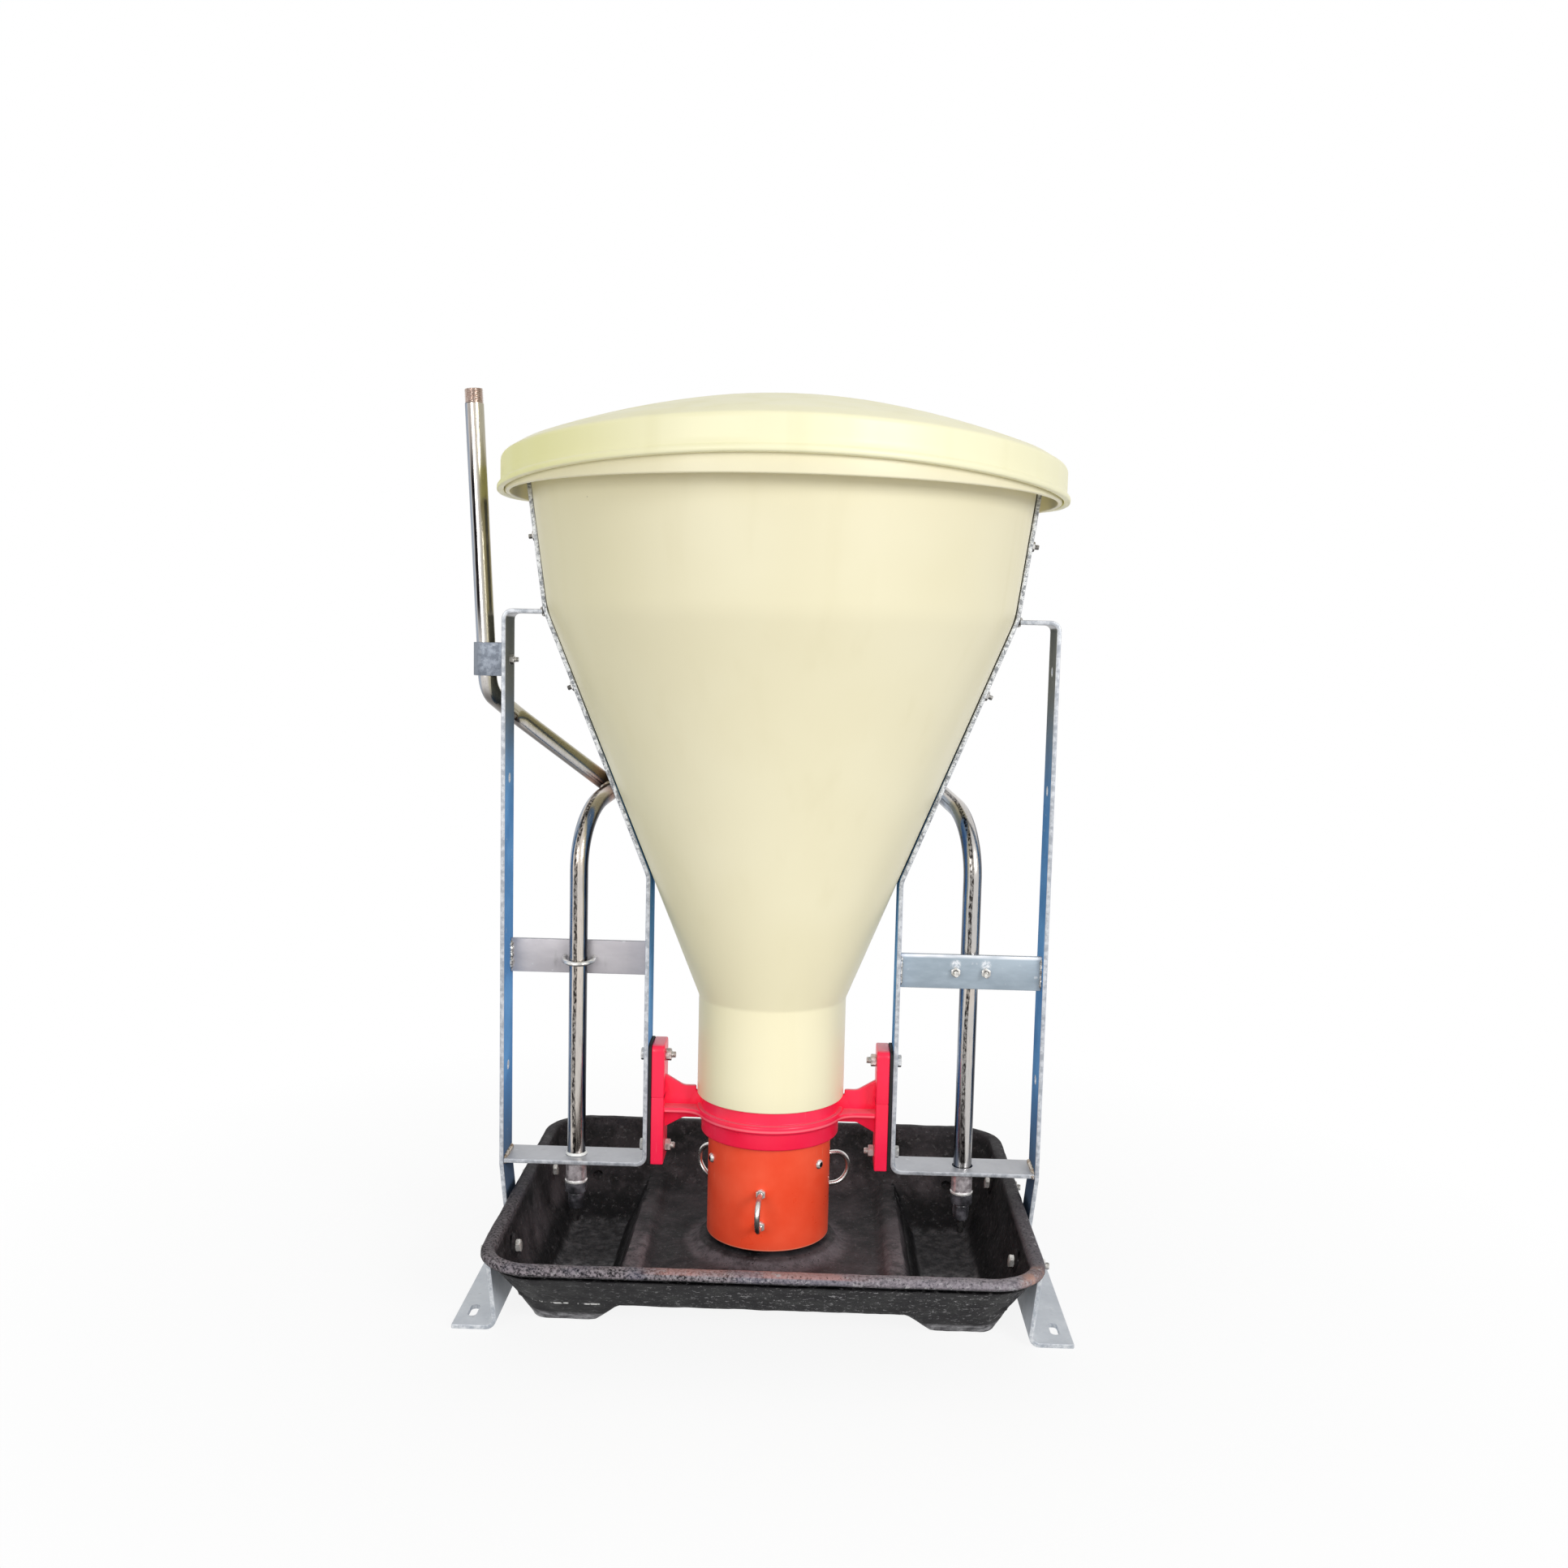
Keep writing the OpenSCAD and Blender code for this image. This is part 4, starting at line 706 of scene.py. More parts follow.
def cast_trough():
    """Black casting: gritty outside, rim worn in front; painted shade in the basins, at the right end and
    under the lip; painted light on the basin floors, the ridge crests and the mound's edge.
    """
    look = Look("cast_trough")
    both, paint = look.product, look.paint
    across, depth, height = look.x, look.y, look.z
    flat = look.coords(scale=(1, 1, 0))
    lumps = look.noise(34, 6, 0.6)
    pits = look.noise(330, 4, 0.65)
    patches = look.noise(11, 4, 0.6)
    mottle = look.noise(80, 5, 0.7)
    grit = look.level(look.noise(150, 5, 0.8), 0.565, 0.63)
    off_x = look.off(across)
    facing = look.vector("DOT_PRODUCT", flat, look.coords("Normal"))
    radius = look.vector("LENGTH", flat)
    far_y = look.level(look.off(depth), 0.11, 0.12)
    outside = both((facing, 0.0, 0.05), look.math("MAXIMUM", look.level(off_x, 0.2, 0.24), far_y))
    inside = look.math("SUBTRACT", 1.0, outside)
    rim = both((height, 0.104, 0.110), (depth, 0.12, -0.22, 0.14, 0.9), (depth, -0.2, -0.235, 0.5, 1))

    look.colour = look.mix((11, 11, 12), (40, 39, 41), (lumps, 0.3, 0.7))
    paint((72, 67, 70), inside, (mottle, 0.46, 0.64, 0, 0.4))
    raised = both((height, 0.035, 0.06), (height, 0.1, 0.066, 0.25, 1), (across, 0.2, 0.27, 1, 0.2))
    paint((88, 81, 84), raised, inside, (patches, 0.4, 0.64, 0.05, 0.7))
    # Painted shade on the basins' walls, below the pan
    paint((5, 5, 6), inside, (height, 0.05, 0.036), (height, 0.014, 0.02, 0, 0.6))
    # Painted light on the front of the basins' floors, broken by mottle
    lit_basin_floor = look.mix((74, 73, 76), (172, 171, 174), (mottle, 0.35, 0.65))
    paint(lit_basin_floor, (height, 0.022, 0.013), (depth, 0.03, -0.05, 0.15, 0.85))
    # Painted highlight along the front of the ridge crests, broken by mottle
    crest = both((off_x, 0.128, 0.14), (off_x, 0.172, 0.16), inside)
    crest = both(crest, (height, 0.054, 0.058), (height, 0.07, 0.063))
    paint((116, 107, 111), crest, (depth, 0.03, -0.06), (mottle, 0.38, 0.6, 0.1, 0.75))
    # Painted highlight on the edge of the feed mound, broken by mottle
    mound = both((radius, 0.079, 0.083), (radius, 0.104, 0.092), (height, 0.046, 0.052))
    paint((108, 101, 105), mound, (mottle, 0.35, 0.6, 0.25, 0.75))

    worn = look.mix((50, 47, 50), (142, 134, 139), (pits, 0.38, 0.6))
    worn = look.mix(worn, (92, 94, 112), (look.noise(9, 2), 0.5, 0.6, 0, 0.4))
    worn = look.mix(worn, (154, 148, 156), (across, -0.1, 0.25, 0, 0.45))
    # Painted shade on the inside of the right end
    paint((6, 6, 7), inside, (across, 0.2, 0.27, 0, 0.5), (height, 0.02, 0.03))
    paint(worn, rim)
    rust = both(rim, (height, 0.1115, 0.1135), (off_x, 0.13, 0.09))
    paint((186, 132, 122), rust, (patches, 0.4, 0.55, 0.15, 0.55))
    corner = both(rim, (across, 0.262, 0.282), (depth, -0.19, -0.215))
    paint((190, 142, 120), corner, (mottle, 0.4, 0.6, 0.2, 0.75))
    # Painted shadow in a band just under the lip, broken by patches
    lip_shadow = both(outside, (height, 0.09, 0.096), (height, 0.107, 0.104))
    clear_of_lip_shadow = look.math("SUBTRACT", 1.0, lip_shadow)
    paint((4, 4, 5), lip_shadow, (patches, 0.36, 0.5, 0.35, 0.95))
    out_grit = both(outside, (across, -0.26, 0.08, 0.25, 0.75), (height, 0.0, 0.06, 0.4, 1), clear_of_lip_shadow)
    amount = look.math("MAXIMUM", look.math("MAXIMUM", out_grit, both(rim, 0.5)), 0.13)
    paint((166, 164, 166), grit, amount)
    dashes = both(outside, far_y, (look.noise(110, 3, 0.6, (1, 0.2, 0.2)), 0.5, 0.58), (across, -0.15, -0.18))
    belly = look.level(look.off(height, BELLY_Z * MM), 0.0025, 0.001)
    paint((232, 231, 229), dashes, belly, (depth, 0.1, -0.1), 0.95)
    paint((10, 10, 11), (pits, 0.4, 0.32, 0, 0.85))
    look.feed("Specular IOR Level", both((outside, 0, 1, 0.11, 0.06), clear_of_lip_shadow))
    return look.done((lumps, 0.3, 0.7, 0.45, 0.7), (lumps, 0.3, 0.003), (pits, 0.5, 0.0012))


def dark_moulding(name, deep, pale, roughness):
    """Black rubber or plastic: fine grain, dusty clouds."""
    look = Look(name, Specular_IOR_Level=0.4)
    clouds = look.noise(60, 4, 0.6)
    look.colour = look.mix(deep, pale, (clouds, 0.35, 0.75))
    dull = (clouds, 0.3, 0.7, roughness - 0.08, roughness + 0.08)
    return look.done(dull, (look.noise(800, 2, 0.6), 0.2, 0.0004))


ZINC_FLAT = ((168, 169, 174), (194, 195, 199))
# Painted reflection for the sides of the cross bars and the clamp
DULL_REFLECTION = ((96, 108, 124), (140, 150, 160))
ROUGH = ((130, 133, 138), (228, 230, 232))
ZINC = galvanised("zinc", ZINC_FLAT, ((160, 165, 173), (206, 209, 214)), SKY_REFLECTION)
STRAP_ZINC = galvanised("zinc_strap", ZINC_FLAT, ((164, 168, 175), (206, 209, 214)), SKY_REFLECTION, rough=ROUGH)
# The rails' third pair of tones is the painted reflection on their sides
RAIL_ZINC = galvanised("zinc_rail", ((180, 185, 192), (208, 212, 216)),
                       ((164, 170, 178), (212, 215, 218)), ((178, 185, 194), (212, 217, 223)))
CROSS_ZINC = {
    "left": galvanised("zinc_cross_left", ((160, 160, 164), (186, 186, 190)),
                       ((177, 173, 177), (191, 187, 190)), DULL_REFLECTION, speckled=False),
    # The right bar has smears and a painted highlight along its top edge
    "right": galvanised("zinc_cross_right", ((156, 162, 170), (182, 188, 194)),
                        ((148, 161, 172), (168, 181, 192)), DULL_REFLECTION, speckled=False, worn=True),
}
CLAMP_ZINC = galvanised("zinc_clamp", ((112, 119, 130), (148, 155, 166)),
                        ((112, 119, 130), (152, 159, 170)), DULL_REFLECTION)
PIPE = stainless_pipe("stainless_pipe", -0.48, 0.08, False)
INLET_PIPE = stainless_pipe("stainless_inlet", -0.6, -0.12, True)
STEEL = bright_steel("bright_steel", (158, 155, 151), (240, 238, 234))
HANDLE_STEEL = bright_steel("handle_steel", (176, 172, 168), (232, 229, 225), 0.92, 40)
# Its pale lower ring is a painted highlight
COUPLING_STEEL = bright_steel(
    "coupling_steel", (138, 130, 133), (214, 206, 209), 0.4, ring_z=COUPLING_Z + 3.2)
PIN_STEEL = bright_steel("pin_steel", (34, 33, 34), (84, 82, 82), 0.65)
WELD = weld_metal("weld_grey", (136, 132, 128), (222, 220, 216))
BURNT_WELD = weld_metal("weld_brown", (138, 116, 94), (216, 208, 196))
HOPPER_LOOK = cream_plastic(
    "hopper_plastic", (237, 229, 194), (243, 236, 204), (226, 217, 178), (238, 231, 190))
LID_LOOK = cream_plastic("lid_plastic", (243, 238, 196), (249, 245, 208), (228, 222, 172), (244, 242, 160))
RED_LOOK = glossy_plastic(
    "red_plastic", (245, 28, 66), (250, 40, 80), (255, 140, 150), 0.3, (222, 116, 130), COLLAR_Z - 1)
ORANGE_LOOK = glossy_plastic(
    "orange_plastic", (242, 78, 46), (250, 94, 62), (255, 176, 148), 0.6, (226, 130, 104), TUBE_Z + 0.6)
CAST = cast_trough()
RUBBER = dark_moulding("black_rubber", (14, 14, 15), (34, 33, 33), 0.72)
BLACK = dark_moulding("black_plastic", (36, 36, 39), (100, 98, 104), 0.26)
WHITE_RING = cream_plastic("sealing_tape", (232, 232, 228), (246, 246, 242), (210, 208, 200), (236, 236, 230))


def steel(name, shape, node, body="frame", look=STEEL, sharp=35):
    """Adds a steel piece, such as a set of bolts."""
    return add(name, shape, body, "bright_steel", look, node, sharp=sharp)


# Side frames
def hopper_r(z):
    """Radius of the hopper's outside at a height above the neck."""
    if z > BREAK_Z:
        return BREAK_R + (z - BREAK_Z) * UPPER_SLOPE
    return NECK_R + (z - NECK_TOP_Z) * CONE_SLOPE


STRAP_GAP = 0.2
STRAP_CORNER_Z = NECK_TOP_Z + (INNER_LEG_X - STRAP_GAP - NECK_R) / CONE_SLOPE
STRAP_PATH = rounded([
    (hopper_r(STRAP_TOP_Z) + STRAP_GAP, STRAP_TOP_Z, 0), (BREAK_R + STRAP_GAP, BREAK_Z, 30),
    (INNER_LEG_X, STRAP_CORNER_Z, 30), (INNER_LEG_X, LOWER_BAR_Z, BEND_R),
    (LEG_IN_X - SEAT, LOWER_BAR_Z, 0)], closed=False)
LEG_TOP_X = BREAK_R + STRAP_GAP + BAR_T / cos(math.atan(UPPER_SLOPE)) + SEAT
LEG_FOOT_X = LEG_X - (LEG_KINK_Z - LEG_FOOT_Z) * tan(LEAN)
LEG_PATH = rounded([
    (LEG_TOP_X, BREAK_Z, 0), (LEG_X, BREAK_Z, BEND_R), (LEG_X, LEG_KINK_Z, 12),
    (LEG_FOOT_X, LEG_FOOT_Z, 0)], closed=False)
RAIL_PATH = rounded([
    (RAIL_X + RAIL_H * tan(LEAN), RAIL_H, 0), (RAIL_X, 0, BEND_R), (RAIL_OUT_X, 0, 0)], closed=False)


def on_bolt(z):
    """Right-hand place of a hopper bolt on the hopper's outside, with +Z outward."""
    slope = UPPER_SLOPE if z > BREAK_Z else CONE_SLOPE
    return pointing((hopper_r(z), 0, z), (1, 0, -slope))


HOPPER_BOLTS_Z = (BREAK_Z - 0.19 * (BREAK_Z - NECK_TOP_Z), BREAK_Z + 0.52 * (RIM_Z - BREAK_Z))


def side_frame(side, turn):
    """Rail, outer leg, strap and cross bar of one side, with their holes and slots."""
    def bar(name, node, look, rows, place=turn):
        shape = Shape().grid(rows, place)
        return add(f"{name}_{side}", shape, "frame", "galvanised_bar", look, f"{node}_{side}")

    slots, holes, pipe_hole = Shape(), Shape(), Shape()
    half, r = (ANCHOR_L - ANCHOR_W) / 2, ANCHOR_W / 2
    for y in (-ANCHOR_Y, ANCHOR_Y):
        outline = arc(ANCHOR_X, y + half, r, 0, 180) + arc(ANCHOR_X, y - half, r, 180, 360)
        slots.grid([[(px, py, z) for px, py in outline] for z in (-BAR_T, 2 * BAR_T)], turn)
    cut(bar("rail", "base_rail", RAIL_ZINC, bar_rows(RAIL_PATH, BAR_T, RAIL_L)), slots)

    for z in LEG_HOLES_Z:
        holes.grid(lathe_rows([(LEG_HOLE_D / 2, 0), (LEG_HOLE_D / 2, 4 * BAR_T)], 32),
                   turn @ pointing((LEG_IN_X - BAR_T, 0, z), (1, 0, 0)))
    cut(bar("leg", "outer_leg", ZINC, bar_rows(LEG_PATH, -BAR_T, BAR_W)), holes)

    pipe_hole.grid(lathe_rows([(PIPE_HOLE_R, 0), (PIPE_HOLE_R, 4 * BAR_T)], 48),
                   turn @ moved(DRINKER_X, 0, LOWER_BAR_Z - BAR_T))
    cut(bar("strap", "hopper_strap", STRAP_ZINC, bar_rows(STRAP_PATH, BAR_T, BAR_W)), pipe_hole)

    flat = [(INNER_LEG_X + BAR_T + SEAT, 0), (LEG_IN_X - SEAT, 0)]
    lie = moved(0, -CROSS_Y - BAR_T, CROSS_Z + CROSS_H / 2) @ Matrix.Rotation(TAU / 4, 4, "X")
    bar("cross", "cross_bar", CROSS_ZINC[side], bar_rows(flat, -BAR_T, CROSS_H), turn @ lie)


def welds(side, turn):
    """Weld beads that join the bars of one side."""
    half = BAR_W / 2
    seams, burnt = Shape(), Shape()
    for x, z, end, size, seed in ((LEG_TOP_X + 1, BREAK_Z + 0.6, half - 2, 2.6, 1.3),
                                  (LEG_TOP_X - 0.4, BREAK_Z - BAR_T - 0.8, half - 3, 2.2, 4.1)):
        bead(seams, turn, [(x, -end, z), (x, end, z)], size, seed)
    for y in (-1, 1):
        foot = [(LEG_FOOT_X - BAR_T + 0.6, y * (half + 0.6), LEG_FOOT_Z + 2),
                (RAIL_X + BAR_T + (RAIL_H - 3) * tan(LEAN) + 0.8, y * (half + 0.6), RAIL_H - 3)]
        bead(seams, turn, foot, 2.3, 7.7 + y)
    for x, size in ((INNER_LEG_X + BAR_T + 0.8, 2.0), (LEG_IN_X - 0.8, 3.2 if side == "left" else 1.8)):
        for y in (-CROSS_Y - BAR_T - 0.6, -CROSS_Y + 0.6):
            bead(seams, turn, [(x, y, CROSS_Z + 3), (x, y, CROSS_Z + CROSS_H - 3)], size, x + y, lump=0.45)
    add(f"weld_{side}", seams, "frame", "galvanised_bar", WELD)

    for z in (LOWER_BAR_Z - 0.6, LOWER_BAR_Z + BAR_T + 0.8):
        bead(burnt, turn, [(LEG_IN_X - 0.8, -half + 2, z), (LEG_IN_X - 0.8, half - 2, z)], 2.7, z)
    if side == "right":
        z = LOWER_BAR_Z + BAR_T / 2
        bead(burnt, turn, [(LEG_IN_X - 4, -half - 0.4, z), (LEG_IN_X - 1, -half - 0.4, z)], 2.8, z)
    add(f"weld_foot_{side}", burnt, "frame", "galvanised_bar", BURNT_WELD)


for side, turn in SIDES.items():
    side_frame(side, turn)
    welds(side, turn)


# Hopper and lid
def wall_waves(size, amount):
    """A slow unevenness of a moulded wall, as a distance along its normal."""
    return lambda point: amount * noise.noise(point / size)


def hopper():
    """Neck, cone, upper taper and the turned-down rim, with soft corners."""
    inner = hopper_r(RIM_Z - HOPPER_WALL)
    outline = [
        (NECK_R, NECK_Z, 1.2), (NECK_R, NECK_TOP_Z, 12), (BREAK_R, BREAK_Z, 90),
        (inner, RIM_Z - HOPPER_WALL, 6), (RIM_R - HOPPER_WALL, RIM_Z - HOPPER_WALL, 4),
        (RIM_R - HOPPER_WALL, RIM_Z - RIM_DROP, 1.5), (RIM_R, RIM_Z - RIM_DROP, 1.8), (RIM_R, RIM_Z, 4),
        (TOP_R - HOPPER_WALL, RIM_Z, 4), (BREAK_R - HOPPER_WALL, BREAK_Z, 90),
        (NECK_R - HOPPER_WALL, NECK_TOP_Z, 12), (NECK_R - HOPPER_WALL, NECK_Z, 1.2)]
    shape = Shape().grid(lathe_rows(divided(rounded(outline), 24), 160), closed=True)
    waves = wall_waves(90, 0.12)
    add("hopper_shell", shape, "frame", "hopper_plastic", HOPPER_LOOK, "hopper", sharp=50, warp=waves)


LID_SEAT = sqrt((LID_SHOULDER_R - LID_T) ** 2 - (LID_SHOULDER_R - LID_T - 1.5) ** 2)
LID_SHOULDER_Z = RIM_Z + 0.5 + LID_SAG * (RIM_R / LID_R) ** 2 + LID_SHOULDER_R - LID_SEAT
LID_LIP_Z = LID_SHOULDER_Z - LID_WALL_H


def lid_profile(inset):
    """Outside of the lid from its middle to its lip, moved in by a distance."""
    shares = [0.004, 0.03] + [i / 22 for i in range(2, 22)]
    dome = [(s * LID_WALL_R, LID_SHOULDER_Z + LID_DOME * (1 - s ** LID_POWER) - inset) for s in shares]
    dome = [point for point in dome if point[0] < LID_WALL_R - 2 * LID_SHOULDER_R]
    r = LID_SHOULDER_R
    shoulder = arc(LID_WALL_R - r, LID_SHOULDER_Z - r, r - inset, 72, 0, 8)
    wall = [(LID_WALL_R - inset, LID_LIP_Z + z) for z in (24, 16, 9)]
    return dome + shoulder + wall


def lid():
    """Soft domed lid with a rolled lip, hanging lower at its sides."""
    lip_r = LID_R - LID_WALL_R
    lip = [(LID_WALL_R + lip_r * s, LID_LIP_Z + z)
           for s, z in ((0.25, 7.6), (0.7, 6.6), (0.95, 5), (1, 3), (0.95, 1), (0.7, 0.2), (0.2, 0))]
    lip += [(LID_WALL_R - LID_T + 0.8, LID_LIP_Z), (LID_WALL_R - LID_T, LID_LIP_Z + 0.8)]
    rows = []
    for r, z in lid_profile(0) + lip + lid_profile(LID_T)[::-1]:
        rows.append([around(r, a, z - LID_SAG * cos(2 * a) * (r / LID_R) ** 2) for a in turns(192)])
    waves = wall_waves(70, 0.25)
    add("lid_shell", Shape().grid(rows), "lid", "lid_plastic", LID_LOOK, "hopper_lid", sharp=60, warp=waves)


def hopper_fasteners():
    """Mushroom-head bolts through the hopper and the straps, with hexagon nuts outside."""
    bolts, nuts = Shape(), Shape()
    head_r, seat = 7, HOPPER_WALL + STRAP_GAP
    top = -seat - 4
    head = [(0.2, top), (3, top + 0.3), (5.4, top + 1.4), (head_r, -seat - 1), (head_r, -seat), (0.2, -seat)]
    for turn in SIDES.values():
        for z in HOPPER_BOLTS_Z:
            place = turn @ on_bolt(z)
            bolts.grid(lathe_rows(head, 28), place)
            threaded_rod(bolts, M6[0], -seat - 1, BAR_T + M6[3] + BOLT_END, BAR_T, place, 1.0)
            hex_nut(nuts, M6, place @ moved(0, 0, BAR_T + STRAP_GAP + SEAT))
    steel("hopper_bolt_set", bolts, "hopper_bolts")
    steel("hopper_nut_set", nuts, "hopper_nuts")


hopper()
lid()
hopper_fasteners()


# Collar
def plate_outline(width, z0, z1, corner, low_corner=2):
    """Outline in (y, z) of an end plate with its upper and lower corners rounded."""
    half = width / 2
    return rounded([(-half, z0, low_corner), (half, z0, low_corner), (half, z1, corner), (-half, z1, corner)])


def upright(x0):
    """Lays an outline of (y, z) points in the YZ plane at x0, raised along +X."""
    return Matrix(((0, 0, 1, x0), (1, 0, 0, 0), (0, 1, 0, 0), (0, 0, 0, 1)))


def collar():
    """Ring with a bead, and on each side a web, a rib, an end plate and a rubber pad."""
    bead_z = COLLAR_Z - BEAD_H / 2, COLLAR_Z + BEAD_H / 2
    ring_z = COLLAR_Z - 25, COLLAR_Z + 50
    ring = rounded([
        (RING_BORE, ring_z[0], 1.5), (RING_R, ring_z[0], 2), (RING_R, bead_z[0], 1.5),
        (BEAD_R, bead_z[0], 4.6), (BEAD_R, bead_z[1], 4.6), (RING_R, bead_z[1], 1.5),
        (RING_R, ring_z[1], 1.5), (RING_BORE, ring_z[1], 1.5)])
    shape = Shape().grid(lathe_rows(ring, 128), closed=True)
    half_w, fillet_r, web_t, rib_t, sunk = 21, 26, 6, 7, 3
    plate_in = PLATE_X - PLATE_T
    fillet_y = half_w + fillet_r
    fillet_x = sqrt((BEAD_R + fillet_r) ** 2 - fillet_y ** 2)
    touch = math.degrees(math.atan2(fillet_y, fillet_x))
    inner, outer = RING_BORE + sunk, plate_in + sunk
    web = [(inner * cos(radians(touch)), inner * sin(radians(touch)))]
    web += arc(fillet_x, fillet_y, fillet_r, 180 + touch, 270, 10) + [(outer, half_w)]
    web = [(x, -y) for x, y in web] + web[::-1]
    web += arc(0, 0, inner, touch, -touch, 12)[1:-1]
    knee = BEAD_R + (plate_in - BEAD_R) * 0.42
    foot_z, knee_z, shelf_z, top_z = COLLAR_Z - 27.3, COLLAR_Z - 13.6, COLLAR_Z + 24.9, COLLAR_Z + 37.6
    neck_r, neck_z = NECK_R + 1.5, NECK_Z - 1.2
    rib = rounded([
        (inner, knee_z, 0), (knee, knee_z, 10), (outer, foot_z, 0), (outer, top_z, 0), (plate_in, top_z, 6),
        (knee, shelf_z, 14), (neck_r, shelf_z, 2), (neck_r, neck_z, 2), (inner, neck_z, 0)])
    stand = Matrix(((1, 0, 0, 0), (0, 0, -1, rib_t / 2), (0, 1, 0, 0), (0, 0, 0, 1)))
    for turn in SIDES.values():
        prism(shape, web, COLLAR_Z - web_t / 2, COLLAR_Z + web_t / 2, 1.4, turn)
        prism(shape, rib, 0, rib_t, 1.4, turn @ stand)
        for z0, z1, low, high in ((PLATE_Z, SEAM_Z, 2, 0.7), (SEAM_Z, PLATE_TOP, 0.7, 8)):
            prism(shape, plate_outline(PLATE_W, z0, z1, high, low), 0, PLATE_T, 1.6, turn @ upright(plate_in))
    add("collar_moulding", shape, "frame", "red_plastic", RED_LOOK, "support_collar")
    outline = plate_outline(PLATE_W + 0.8, PLATE_Z - 0.6, PLATE_TOP + 0.4, 8)
    for side, turn in SIDES.items():
        pad = Shape()
        prism(pad, outline, SEAT, PAD_T - SEAT, 0.6, turn @ upright(PLATE_X))
        add(f"pad_{side}", pad, "frame", "black_rubber", RUBBER, f"collar_pad_{side}")


def collar_fasteners():
    """Bolts through each inner leg, pad and plate."""
    bolts, nuts = Shape(), Shape()
    length = BAR_T + PAD_T + PLATE_T + M8[3] + BOLT_END
    for turn in SIDES.values():
        for z in COLLAR_BOLTS_Z:
            head = turn @ pointing((INNER_LEG_X + BAR_T + SEAT, 0, z), (-1, 0, 0))
            hex_bolt(bolts, M8, length, M8[3] + BOLT_END + 3, head)
            hex_nut(nuts, M8, turn @ pointing((PLATE_X - PLATE_T - SEAT, 0, z), (-1, 0, 0)))
    steel("collar_bolt_set", bolts, "collar_bolts")
    steel("collar_nut_set", nuts, "collar_nuts")


collar()
collar_fasteners()


# Feed tube
def feed_tube():
    """Drop tube with rounded ends."""
    wall = TUBE_R - TUBE_WALL
    outline = rounded([
        (TUBE_R, TUBE_Z, 1.6), (TUBE_R, TUBE_TOP, 1.2), (wall, TUBE_TOP, 1.2), (wall, TUBE_Z, 1.2)])
    shape = Shape().grid(lathe_rows(divided(outline, 15), 144), closed=True)
    waves = wall_waves(60, 0.1)
    add("feed_tube", shape, "tube", "orange_plastic", ORANGE_LOOK, "drop_tube", sharp=50, warp=waves)


def handle(side):
    """Bent rod with two threaded legs through the tube's wall."""
    bow_r = HANDLE_SPACING / 2
    bow_x = TUBE_R + HANDLE_REACH - bow_r - HANDLE_ROD / 2
    tail_x = TUBE_R - 14
    leg_steps = 60
    half = [(tail_x, bow_r)] + arc(bow_x, 0, bow_r, 90, -90, 24) + [(tail_x, -bow_r)]
    path = resampled([Vector((x, 0, z)) for x, z in half], 5)
    bow = [point for point in path if point.x > TUBE_R + M6[3] + 4]
    legs = [Vector((tail_x + (bow[0].x - tail_x) * i / leg_steps, 0, bow_r)) for i in range(leg_steps)]
    path = legs + bow + [Vector((p.x, 0, -bow_r)) for p in reversed(legs)]
    end = TUBE_R + M6[3] + 2

    def size(i, angle):
        x = path[i].x
        return thread_radius(HANDLE_ROD, 1.0, x, angle) if x < end else HANDLE_ROD / 2

    shape = Shape().grid(tube_rows(path, size, 20), at_place(PLACES[side]) @ moved(0, 0, LEVELS[side]))
    steel(f"handle_{side}", shape, f"tube_handle_{side}", "tube", HANDLE_STEEL)


def tube_fasteners():
    """Nuts on the handles' legs and button-head screws, with painted shade in and around their hexagon
    sockets.
    """
    nuts, screws = Shape(), Shape()
    wall = TUBE_R - TUBE_WALL
    inner_x = sqrt(wall ** 2 - (M6[1] / sqrt(3)) ** 2) - SEAT
    for side, place in PLACES.items():
        for level in (-0.5, 0.5):
            turn = at_place(place) @ moved(0, 0, LEVELS[side] + level * HANDLE_SPACING)
            hex_nut(nuts, M6, turn @ pointing((TUBE_R + SEAT, 0, 0), (1, 0, 0)))
            hex_nut(nuts, M6, turn @ pointing((inner_x, 0, 0), (-1, 0, 0)))
    sides, socket_af, head_h, socket_z = 36, 4, 3.3, 1.2
    head = [(3, SEAT), (5.5, SEAT), (5.5, 0.7), (5.2, 1.5), (4.6, 2.3), (3.8, 2.9), (3.0, head_h)]
    rows = lathe_rows(head, sides)
    for z in (head_h, socket_z):
        rows.append([around(hex_reach(socket_af, a), a, z) for a in turns(sides)])
    screw_places = [at_place(place) @ pointing((TUBE_R, 0, SCREW_Z), (1, 0, 0)) for place in SCREW_PLACES]
    for place in screw_places:
        screws.grid(rows, place)
        threaded_rod(screws, M6[0], -18, 1, 0.5, place, 1.0)
    steel("handle_nut_set", nuts, "handle_nuts", "tube")
    piece = steel("screw_set", screws, "spider_screws", "tube", sharp=30)
    # Faces in and around the hexagon sockets take the dark pin steel as painted shade
    piece.data.materials.append(PIN_STEEL)
    dark_r, dark_low, dark_high = 2.9, 1, 3.4
    for face in piece.data.polygons:
        for place in screw_places:
            x, y, z = place.inverted() @ (face.center / MM)
            if hypot(x, y) < dark_r and dark_low < z < dark_high:
                face.material_index = 1


feed_tube()
for side in PLACES:
    handle(side)
tube_fasteners()


